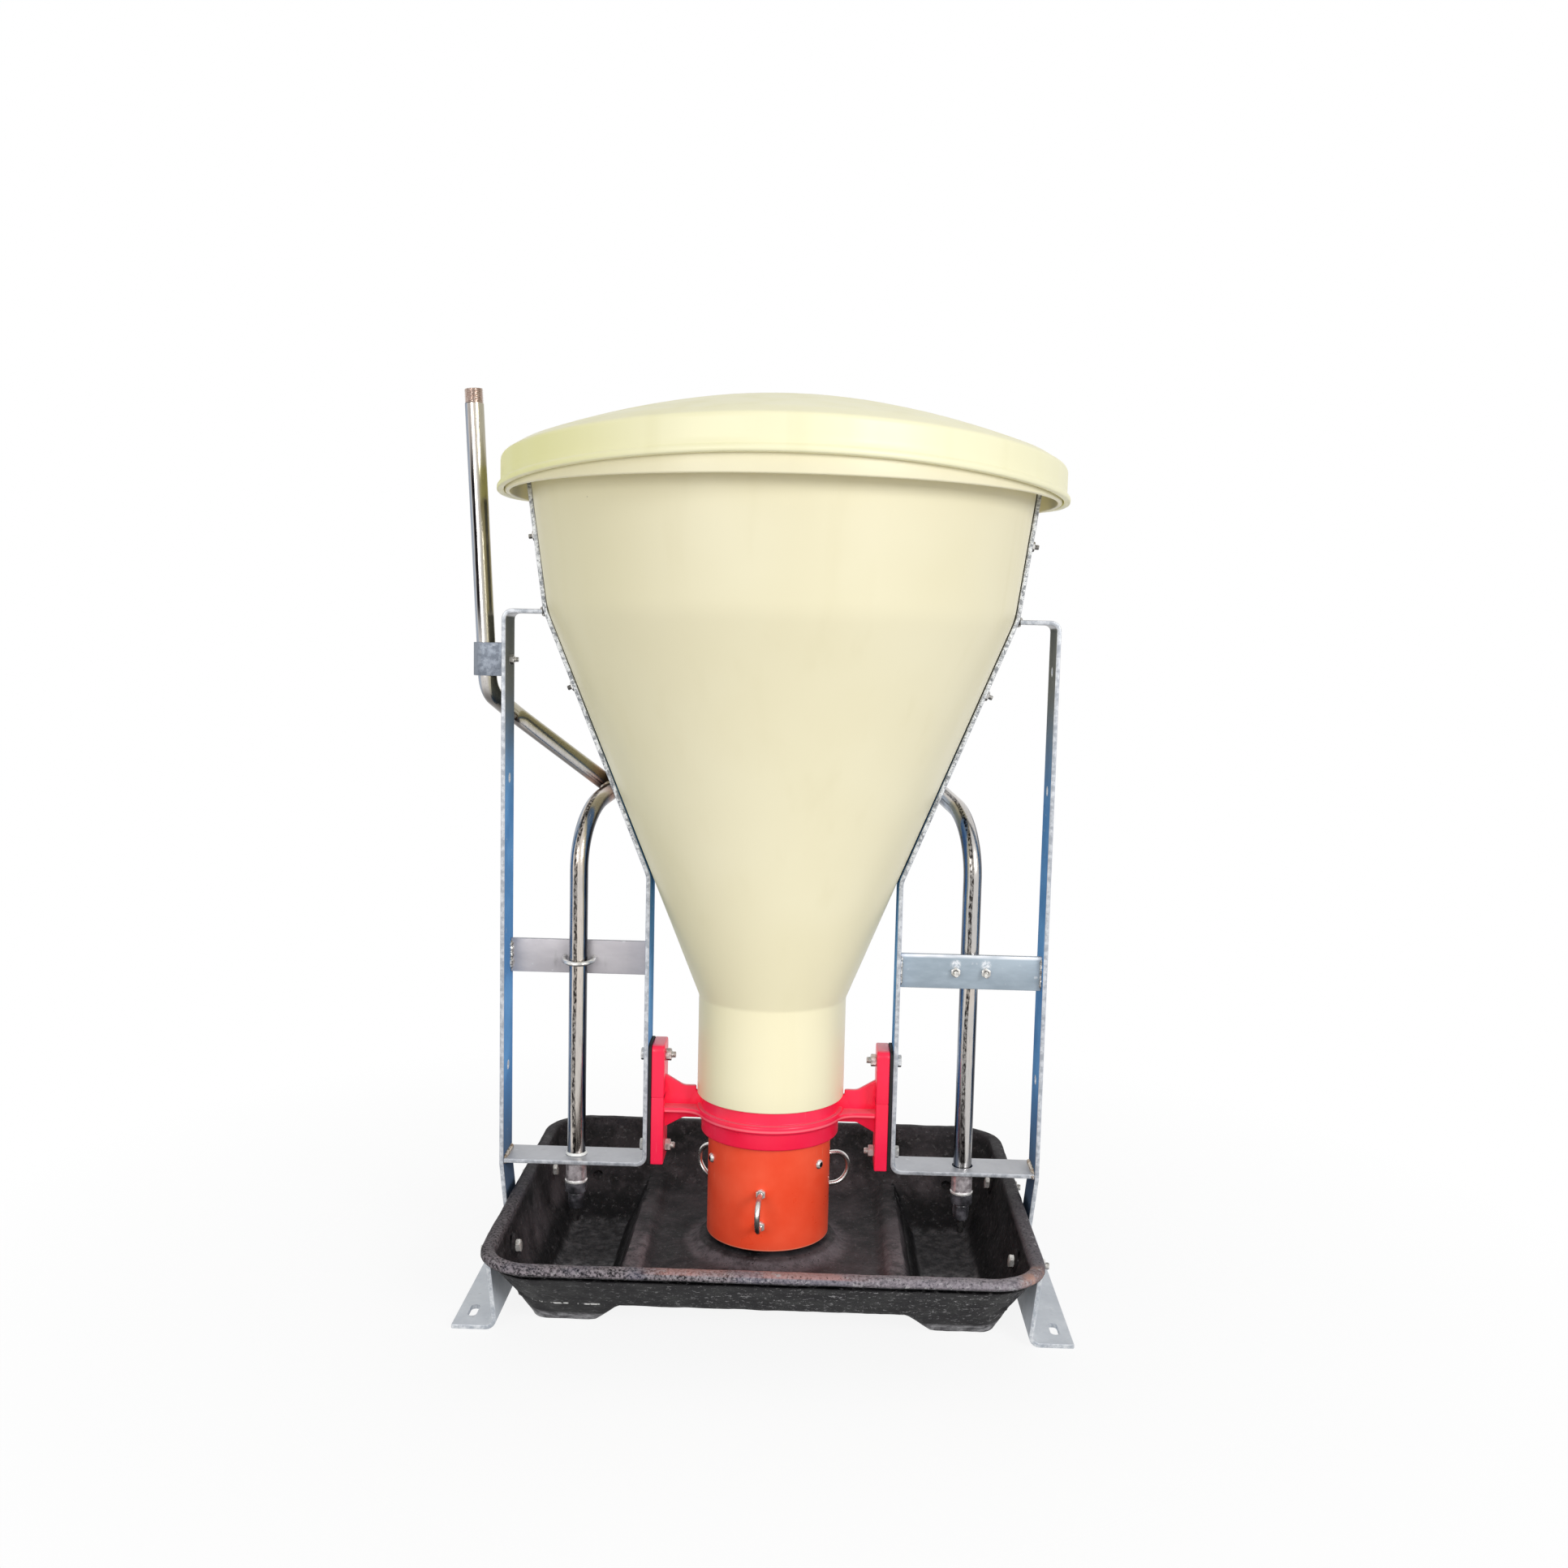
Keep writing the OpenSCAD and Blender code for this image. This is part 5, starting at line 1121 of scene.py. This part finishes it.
# Trough
NX, NY = 104, 72
CORNER_SHARE_X, CORNER_SHARE_Y = 0.17, 0.25
WALL_L, WALL_D = TROUGH_L - LIP, TROUGH_D - LIP
BELLY_L, BELLY_D = 277.8, 169.4
FOOT_L, FOOT_D = 257.3, 119.8
RECESS_X, RECESS_SLOPE, RECESS_Z = 170.5, 20, 39
PAN_Z, RIDGE_Z, RIDGE_X, RIDGE_W, BASIN_Z = 50, 60, 150, 18, 11
MOUND_Z, MOUND_R, MOUND_FLARE = 60, 78, 17
END_WALL, SLOPE_WALL = 9, 12.15


def mix(a, b, share):
    return a + (b - a) * share


def step_between(value, points):
    """Height on a chain of (place, height) points, held level past its ends."""
    if value <= points[0][0]:
        return points[0][1]
    for (x0, z0), (x1, z1) in zip(points, points[1:]):
        if value <= x1:
            return mix(z0, z1, (value - x0) / (x1 - x0))
    return points[-1][1]


def on_square(a, b, half_l, half_d, r):
    """Place on a rounded rectangle for a place (a, b) on the edge of the unit square."""
    sx, sy = math.copysign(1, a), math.copysign(1, b)
    a, b = abs(a), abs(b)
    if a >= b:
        straight = 1 - CORNER_SHARE_Y
        if b <= straight:
            return sx * half_l, sy * b / straight * (half_d - r)
        angle = (b - straight) / CORNER_SHARE_Y * TAU / 8
    else:
        straight = 1 - CORNER_SHARE_X
        if a <= straight:
            return sx * a / straight * (half_l - r), sy * half_d
        angle = TAU / 4 - (a - straight) / CORNER_SHARE_X * TAU / 8
    return sx * (half_l - r + r * cos(angle)), sy * (half_d - r + r * sin(angle))


def square_edge():
    """Places around the edge of the unit square, in order."""
    xs = [2 * i / NX - 1 for i in range(NX + 1)]
    ys = [2 * i / NY - 1 for i in range(NY + 1)]
    bottom = [(x, -1.0) for x in xs[:-1]]
    right = [(1.0, y) for y in ys[:-1]]
    return bottom + right + [(-x, 1.0) for x in xs[:-1]] + [(-1.0, -y) for y in ys[:-1]]


def sheet_points(half_l, half_d, r, height):
    """Rows of points that fill a rounded rectangle, with a height at each."""
    rows = []
    for j in range(NY + 1):
        row = []
        for i in range(NX + 1):
            a, b = 2 * i / NX - 1, 2 * j / NY - 1
            out = max(abs(a), abs(b))
            x, y = on_square(a / out, b / out, half_l * out, half_d * out, r * out) if out else (0, 0)
            row.append((x, y, height(x, y)))
        rows.append(row)
    return rows


def outside_d(z):
    return step_between(z, [(0, FOOT_D), (BELLY_Z, BELLY_D), (LIP_Z, WALL_D)])


def outside_l(z):
    return step_between(z, [(0, FOOT_L), (BELLY_Z, BELLY_L), (LIP_Z, WALL_L)])


def inside_height(x, y):
    """Height of the trough's inside at a place: pan, ridges, basins, sloping walls and the feed mound."""
    x, y = abs(x), abs(y)
    along = step_between(x, [
        (RIDGE_X - RIDGE_W, PAN_Z), (RIDGE_X - RIDGE_W / 2, RIDGE_Z), (RIDGE_X + RIDGE_W / 2, RIDGE_Z),
        (RIDGE_X + RIDGE_W / 2 + 20, BASIN_Z), (FOOT_L - END_WALL, BASIN_Z),
        (outside_l(RIDGE_Z) - END_WALL, RIDGE_Z), (WALL_L - END_WALL, TROUGH_H)])
    across = step_between(y, [
        (outside_d(BASIN_Z) - SLOPE_WALL, BASIN_Z), (BELLY_D - SLOPE_WALL, BELLY_Z),
        (WALL_D - SLOPE_WALL, LIP_Z)])
    far = MOUND_R + MOUND_FLARE
    mound = step_between(hypot(x, y), [(MOUND_R, MOUND_Z), (far, PAN_Z - 4), (far + 1, -TROUGH_H)])
    blend = 2.0
    return blend * math.log(sum(math.exp(h / blend) for h in (along, across, mound)))


def under_height(x, y):
    """Height of the trough's underside: feet at both ends, a raised middle."""
    return step_between(abs(x), [(RECESS_X, RECESS_Z), (RECESS_X + RECESS_SLOPE, 0)])


def trough_bolt_places():
    """Places of the trough bolts on the rails' inner faces, with +Z into the trough."""
    x = RAIL_X + TROUGH_BOLT_Z * tan(LEAN)
    inward = (-cos(LEAN), 0, sin(LEAN))
    spots = [(x, y * TROUGH_BOLT_Y, TROUGH_BOLT_Z) for y in (-1, 1)]
    return [turn @ pointing(spot, inward) for turn in SIDES.values() for spot in spots]


def trough():
    """One closed casting: underside, outside, rounded rim, inside walls and floor; bosses for its bolts."""
    edge = square_edge()
    r, foot_r, inner_r = 55, 16.5, 46
    groove, floor_z = 2.5, 62
    shape = Shape()
    rows = []
    for share in (0, 0.03, 0.1, 0.2, 0.3, 0.4, 0.5, 0.6, 0.7, 0.8, 0.88, 0.93, 0.96, 1):
        row = []
        for a, b in edge:
            x, y = on_square(a, b, FOOT_L, FOOT_D, foot_r)
            z = mix(under_height(x, y), LIP_Z, share)
            soft = 3 * max(0, 1 - share / 0.03) + groove * max(0, (share - 0.93) / 0.07)
            radius = mix(foot_r, r, min(1, z / BELLY_Z))
            row.append((*on_square(a, b, outside_l(z) - soft, outside_d(z) - soft, radius), z))
        rows.append(row)
    lip = [(-1, -0.6), (LIP - 2.4, -1), (LIP - 0.7, 0.4), (LIP, 2.2), (LIP, 5), (LIP - 0.9, 7.2),
           (LIP - 2.8, 8.6), (LIP - 5.5, 9), (-4, 9), (-7, 8.4), (-9, 6.8), (-9.4, 4)]
    for out, up in lip:
        rows.append([(*on_square(a, b, WALL_L + out, WALL_D + out, r + out), LIP_Z + up) for a, b in edge])
    for z in (100, 92, 84, 76, 68):
        wall_d = outside_d(z) - SLOPE_WALL
        rows.append([(*on_square(a, b, outside_l(z) - END_WALL, wall_d, inner_r), z) for a, b in edge])
    floor_l, floor_d = outside_l(floor_z) - END_WALL, outside_d(floor_z) - SLOPE_WALL
    rim = [on_square(a, b, floor_l, floor_d, inner_r) for a, b in edge]
    rows.append([(x, y, inside_height(x, y)) for x, y in rim])
    shape.grid(rows, caps=False)
    shape.patch(sheet_points(floor_l, floor_d, inner_r, inside_height))
    base_rows = sheet_points(FOOT_L, FOOT_D, foot_r, under_height)
    low = {(round(a, 6), round(b, 6)): point for (a, b), point in zip(edge, rows[0])}
    for j, row in enumerate(base_rows):
        for i, point in enumerate(row):
            row[i] = low.get((round(2 * i / NX - 1, 6), round(2 * j / NY - 1, 6)), point)
    shape.patch(base_rows)

    def lumps(point):
        slow = 0.55 * noise.noise(point / 26) + 0.3 * noise.noise(point / 9)
        return slow if point.z > 2 else 0

    piece = add("trough_casting", shape, "frame", "cast_trough", CAST, "trough", sharp=60, warp=lumps)
    holes, bosses = Shape(), Shape()
    slope = (WALL_D - BELLY_D) / (LIP_Z - BELLY_Z)
    for x in (-WASH_X, WASH_X):
        place = pointing((x, outside_d(WASH_Z), WASH_Z), (0, 1, -slope))
        holes.grid(lathe_rows([(WASH_R, -30), (WASH_R, -2.5)], 28), place)
    cut(piece, holes, 60)
    boss = rounded([(0.3, SEAT, 0), (BOSS_R, SEAT, 1.5), (BOSS_R - 1, BOSS_H, 3), (0.3, BOSS_H, 0)], False)
    for place in trough_bolt_places():
        bosses.grid(lathe_rows(boss, 40), place)
    add("trough_bosses", bosses, "frame", "cast_trough", CAST, sharp=40, warp=wall_waves(8, 0.3))


def trough_fasteners():
    """Bolts from inside the trough through the rails."""
    bolts, nuts = Shape(), Shape()
    back = Matrix.Rotation(math.pi, 4, "X")
    length = BOSS_H + BAR_T + M8[3] + BOLT_END
    for place in trough_bolt_places():
        hex_bolt(bolts, M8, length, M8[3] + BOLT_END + 3, place @ moved(0, 0, BOSS_H + 2 * SEAT) @ back)
        hex_nut(nuts, M8, place @ moved(0, 0, -BAR_T - SEAT) @ back)
    steel("trough_bolt_set", bolts, "trough_bolts")
    steel("trough_nut_set", nuts, "trough_nuts")


trough()
trough_fasteners()


# Water pipe
INLET_ROUTE = [(-INLET_X - (INLET_TOP - CLAMP_Z) * tan(INLET_LEAN), 0, INLET_TOP),
               (-INLET_X + INLET_DROP * tan(INLET_LEAN), 0, CLAMP_Z - INLET_DROP),
               (-LEG_X, BAR_W / 2 + 2 * PIPE_R + 14, CLAMP_Z - INLET_DROP - 30), tuple(WELD_AT)]


def hollow(path, radius, sides=36):
    """Pipe with a wall: its outside and its bore in one closed skin."""
    return Shape().grid(tube_rows(path, radius, sides) + tube_rows(path, PIPE_IN_R, sides)[::-1], closed=True)


def water_pipes():
    """The bent water pipe, the inlet and the weld that joins them."""
    water = hollow(resampled(bent(WATER_ROUTE, 80, 24), 12), PIPE_R)
    add("water_run", water, "frame", "stainless_pipe", PIPE, "water_pipe")

    steps = 60
    path = bent(INLET_ROUTE, 28, 18)
    down = (path[1] - path[0]).normalized()
    top = [path[0] + down * (THREAD_L * i / steps) for i in range(steps + 1)]
    path = top + resampled([top[-1] + down * 0.4] + path[1:], 12)
    path[-1] = path[-1] - (path[-1] - path[-2]).normalized() * PIPE_R * 0.75

    def size(i, angle):
        if i > steps:
            return PIPE_R
        return thread_radius(THREAD_D - 0.3 * (i < 4), THREAD_PITCH, THREAD_L * i / steps, angle)

    add("inlet_run", hollow(path, size), "frame", "stainless_pipe", INLET_PIPE, "inlet_pipe")

    axis = (Vector(WATER_ROUTE[2]) - Vector(WATER_ROUTE[1])).normalized()
    coming = (Vector(INLET_ROUTE[3]) - Vector(INLET_ROUTE[2])).normalized()
    side = coming.cross(axis).normalized()
    across = side.cross(coming).normalized()
    toward = coming - axis * coming.dot(axis)
    seam_r = PIPE_R + 0.4
    ring = []
    for angle in turns(40):
        start = WELD_AT + side * seam_r * cos(angle) + across * seam_r * sin(angle)
        off = start - WELD_AT
        off -= axis * off.dot(axis)
        b, c = off.dot(toward), off.length_squared - (PIPE_R + 0.3) ** 2
        root = max(0, b * b - toward.length_squared * c)
        ring.append(start + coming * (-b - sqrt(root)) / toward.length_squared)

    def lump(i, angle):
        return 2.1 + 0.6 * noise.noise(ring[i] * 0.3) + 0.25 * sin(i * TAU / 4)

    seam = Shape().grid(tube_rows(ring, lump, 10, closed=True), closed=True)
    add("weld_inlet", seam, "frame", "stainless_pipe", BURNT_WELD)


def coupling_and_drinker(side, place):
    """Coupling under a lower bar, and the drinker in it with its pin and its spring."""
    bore, plain_r = PIPE_IN_R + SEAT, COUPLING_R - 1.1
    profile = rounded([
        (PIPE_R + SEAT, COUPLING_TOP, 0.6), (PIPE_R + SEAT, PIPE_END_Z, 0), (bore, PIPE_END_Z, 0),
        (bore, COUPLING_Z, 0.5), (COUPLING_R - 0.6, COUPLING_Z, 0.4), (COUPLING_R, COUPLING_Z + 2.4, 0.5),
        (plain_r, COUPLING_Z + 4, 0.6), (plain_r, COUPLING_TOP - 6, 0.6),
        (COUPLING_R - 2.1, COUPLING_TOP - 5, 0.4), (COUPLING_R - 2.1, COUPLING_TOP, 0.4)])
    coupling = Shape().grid(lathe_rows(profile, 64), place, closed=True)
    add(f"coupling_{side}", coupling, "frame", "stainless_pipe", COUPLING_STEEL, f"pipe_coupling_{side}")

    hexagon = hex_side_rings(DRINKER_AF, COUPLING_Z - DRINKER_HEX_Z - SEAT)
    body = Shape().grid(hexagon, place @ moved(0, 0, DRINKER_HEX_Z))
    nose = rounded([
        (PIN_R + 0.5, NOSE_Z, 0.4), (NOSE_R - 1.4, NOSE_Z, 0.8), (NOSE_R - 0.6, NOSE_Z + 3, 1),
        (NOSE_R, NOSE_Z + 8, 2), (NOSE_R, DRINKER_HEX_Z - 3, 0.8), (NOSE_R - 0.7, DRINKER_HEX_Z - 2, 0.4),
        (NOSE_R, DRINKER_HEX_Z + 1, 0), (PIN_R + 0.5, DRINKER_HEX_Z + 1, 0)])
    rows = lathe_rows(nose, 48)
    for row in rows:
        for k, (x, y, z) in enumerate(row):
            share = min(1, hex_reach(1.9 * NOSE_R, TAU * (k / 48 + 1 / 12)) / hypot(x, y))
            row[k] = (x * share, y * share, z)
    body.grid(rows, place, closed=True)
    add(f"drinker_{side}", body, "frame", "black_plastic", BLACK, f"drinker_body_{side}")

    head_top = PIN_HEAD_Z + PIN_HEAD_H
    shaft = [(0.2, PIN_Z), (PIN_R - 1.6, PIN_Z + 0.1), (PIN_R - 0.6, PIN_Z + 0.6), (PIN_R - 0.1, PIN_Z + 1.6),
             (PIN_R, PIN_Z + 3), (PIN_R, PIN_HEAD_Z - 1), (PIN_HEAD_R, PIN_HEAD_Z), (PIN_HEAD_R, head_top),
             (0.2, head_top)]
    pin = Shape().grid(lathe_rows(shaft, 32), place)
    steel(f"pin_{side}", pin, f"drinker_pin_{side}", f"drinker_pin_{side}", PIN_STEEL)

    node = f"drinker_spring_{side}"
    low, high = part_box(node)
    foot, top = low[2] / MM, high[2] / MM
    rise = (top - foot - 2 * SPRING_WIRE_R) / (TAU * SPRING_TURNS)
    steps = 24
    angles = [TAU * k / steps for k in range(steps * SPRING_TURNS + 1)]
    coil = [Vector(around(SPRING_R, a, foot + SPRING_WIRE_R + rise * a)) for a in angles]
    spring = steel(f"spring_{side}", Shape().grid(tube_rows(coil, SPRING_WIRE_R, 8), place), node)
    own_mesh(spring)


def sealing_ring():
    """White ring around the left pipe, above the lower bar."""
    z = LOWER_BAR_Z + BAR_T
    ring = rounded([(PIPE_R + 0.1, z + 0.2, 0.3), (PIPE_HOLE_R + 1, z + 0.2, 0.8),
                    (PIPE_R + 1.2, z + 3.4, 0.8), (PIPE_R + 0.1, z + 3.6, 0.3)])
    tape = Shape().grid(lathe_rows(ring, 40), moved(-DRINKER_X, 0, 0), closed=True)
    waves = wall_waves(4, 0.3)
    add("sealing_ring_left", tape, "frame", "hopper_plastic", WHITE_RING, sharp=50, warp=waves)


def u_bolts():
    """U-bolts that hold the pipe to the cross bars, hanging a little in front, and their nuts."""
    nuts = Shape()
    leg_steps = 90
    tail = CROSS_Y + BAR_T + M6[3] + 6
    bow = [Vector((x, y, 0)) for x, y in arc(0, -U_OFF, U_LEG, 0, 180, 28)]
    legs = [Vector((U_LEG, -tail + (tail - U_OFF) * i / leg_steps, 0)) for i in range(leg_steps)]
    path = legs + bow + [Vector((-p.x, p.y, 0)) for p in reversed(legs)]

    def size(i, angle):
        y = path[i].y
        return thread_radius(U_ROD, 1.0, y, angle) if y < -CROSS_Y else U_ROD / 2

    for side, turn in SIDES.items():
        lean = Matrix.Rotation(U_HANG if side == "right" else -U_HANG, 4, "X")
        bar = moved(0, -CROSS_Y - BAR_T / 2, 0)
        place = turn @ moved(DRINKER_X, 0, U_Z) @ bar @ lean @ bar.inverted()
        steel(f"u_rod_{side}", Shape().grid(tube_rows(path, size, 20), place), f"u_bolt_{side}")
        for x in (-U_LEG, U_LEG):
            place = turn @ pointing((DRINKER_X + x, -CROSS_Y - BAR_T - SEAT, U_Z), (0, -1, 0))
            hex_nut(nuts, (U_ROD, *M6[1:]), place)
    steel("u_nut_set", nuts, "u_bolt_nuts")


def inlet_clamp():
    """Strap around the inlet pipe with its flat base on the leg, and its bolt and nut."""
    def loop(radius, back):
        side = [back * i / 6 for i in range(1, 7)]
        base = [(back, -radius + 2 * radius * i / 8) for i in range(1, 8)]
        bow = arc(0, 0, radius, 90, 270, 20)
        return bow + [(x, -radius) for x in side] + base + [(x, radius) for x in reversed(side)]

    clamp, bolt, nut = Shape(), Shape(), Shape()
    outer = loop(CLAMP_IN_R + CLAMP_T, CLAMP_STAND - SEAT)
    inner = loop(CLAMP_IN_R, CLAMP_STAND - CLAMP_T)
    prism(clamp, outer, -CLAMP_H / 2, CLAMP_H / 2, 0.6, moved(-INLET_X, 0, CLAMP_Z), inner)
    add("clamp_strap", clamp, "frame", "galvanised_bar", CLAMP_ZINC, "inlet_clamp")
    head = pointing((-LEG_X - CLAMP_T - 2 * SEAT, 0, CLAMP_Z), (1, 0, 0))
    hex_bolt(bolt, M6, CLAMP_T + BAR_T + M6[3] + BOLT_END, M6[3] + BOLT_END, head, 1.0)
    hex_nut(nut, M6, pointing((-LEG_IN_X + SEAT, 0, CLAMP_Z), (1, 0, 0)))
    steel("clamp_bolt", bolt, "inlet_clamp_bolt")
    steel("clamp_nut", nut, "inlet_clamp_nut")


water_pipes()
for side, turn in SIDES.items():
    coupling_and_drinker(side, turn @ moved(DRINKER_X, 0, 0))
sealing_ring()
u_bolts()
inlet_clamp()

# Materials of the solids that stay as they are, inside the hopper, the feed tube and the drinkers
KEPT = {
    "tube_spider": ZINC, "hanger_bar": ZINC, "hanger_rod": STEEL, "hanger_washer": STEEL,
    "hanger_top_nut": STEEL, "hanger_foot_nut": STEEL,
    "drinker_seal_left": RUBBER, "drinker_seal_right": RUBBER,
}
for node, look in KEPT.items():
    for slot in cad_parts[node].material_slots:
        slot.material = look


# Floor, light and camera
WHITE = (1, 1, 1, 1)


def white_where_seen(tree, seen, lit):
    """Mixes two shaders: one for what is seen or mirrored, one for what lights the object."""
    rays = new_node(tree, "ShaderNodeLightPath").outputs
    total = rays["Is Camera Ray"]
    for name in ("Is Glossy Ray", "Is Transmission Ray"):
        total = new_node(tree, "ShaderNodeMath", total, rays[name], operation="MAXIMUM").outputs[0]
    return new_node(tree, "ShaderNodeMixShader", total, lit, seen).outputs[0]


def studio():
    """A world that is seen as white and lights the object at half strength."""
    world = bpy.data.worlds.new("studio")
    bpy.context.scene.world = world
    world.use_nodes = True
    tree = world.node_tree
    lit = tree.nodes["Background"]
    join(tree, WHITE, lit.inputs["Color"])
    join(tree, 0.5, lit.inputs["Strength"])
    seen = new_node(tree, "ShaderNodeBackground", WHITE, 1.0)
    surface = white_where_seen(tree, seen.outputs[0], lit.outputs[0])
    join(tree, surface, tree.nodes["World Output"].inputs["Surface"])


def floor():
    """A pale floor that keeps a soft shadow and fades out away from the object."""
    half = 4.0
    mesh = bpy.data.meshes.new("floor")
    corners = [(-half, -half, 0), (half, -half, 0), (half, half, 0), (-half, half, 0)]
    mesh.from_pydata(corners, [], [(0, 1, 2, 3)])
    piece = bpy.data.objects.new("floor", mesh)
    piece.location.z = -0.0005
    bpy.context.scene.collection.objects.link(piece)
    look = Look("floor", Base_Color=(0.9, 0.9, 0.9, 1), Roughness=0.9, Specular_IOR_Level=0.0)
    diffuse = look.shader.outputs[0]
    glow = look.node("ShaderNodeEmission", WHITE, 1.0).outputs[0]
    pale = look.node("ShaderNodeMixShader", 0.88, diffuse, glow).outputs[0]
    far = look.node("ShaderNodeMapRange", look.vector("LENGTH", look.place), 0.4, 1.1).outputs["Result"]
    clear = look.node("ShaderNodeBsdfTransparent").outputs[0]
    fade = look.node("ShaderNodeMixShader", far, white_where_seen(look.tree, pale, diffuse), clear).outputs[0]
    join(look.tree, fade, look.tree.nodes["Material Output"].inputs["Surface"])
    mesh.materials.append(look.material)


def lamps():
    """Lamps in front and behind, and a weak narrow one at the trough."""
    middle, foot = Vector((0, 0, 0.55)), Vector((0, -0.05, 0.09))
    for name, place, target, size, watts, spread in (
            ("key", (2.8, -3.6, 2.1), middle, 1.6, 98, 180),
            ("fill", (-1.6, -3.4, 1.4), middle, 1.4, 32, 180),
            ("back", (0.3, 4.2, 0.6), middle, 1.8, 60, 180),
            ("low", (0.1, -2.3, 0.9), foot, 0.6, 0.36, 24)):
        lamp = bpy.data.lights.new(name, "AREA")
        lamp.size = size
        lamp.energy = watts
        lamp.spread = radians(spread)
        light = bpy.data.objects.new(name, lamp)
        light.location = place
        light.visible_glossy = name in ("key", "fill")
        light.rotation_euler = (target - Vector(place)).to_track_quat("-Z", "Y").to_euler()
        bpy.context.scene.collection.objects.link(light)


def photo_camera():
    """Camera at the photograph's place, fitted to the frame's corners and the hopper's circles."""
    focal_px, image_px, sensor = 1842.884, 1932, 36
    place = Vector((0.0432, -1.7203, 0.7703))
    yaw, pitch, roll = (radians(a) for a in (-1.184, 5.760, 1.331))
    forward = Vector((sin(yaw) * cos(pitch), cos(yaw) * cos(pitch), -sin(pitch)))
    right = Vector((cos(yaw), -sin(yaw), 0))
    up = right.cross(forward)
    x_axis = right * cos(roll) + up * sin(roll)
    y_axis = up * cos(roll) - right * sin(roll)
    data = bpy.data.cameras.new("photo")
    data.sensor_width = sensor
    data.lens = focal_px / image_px * sensor
    camera = bpy.data.objects.new("photo", data)
    turn = Matrix((x_axis, y_axis, -forward)).transposed()
    camera.matrix_world = Matrix.Translation(place) @ turn.to_4x4()
    bpy.context.scene.collection.objects.link(camera)
    bpy.context.scene.camera = camera


studio()
floor()
lamps()
photo_camera()
bpy.context.scene.view_settings.view_transform = "Standard"
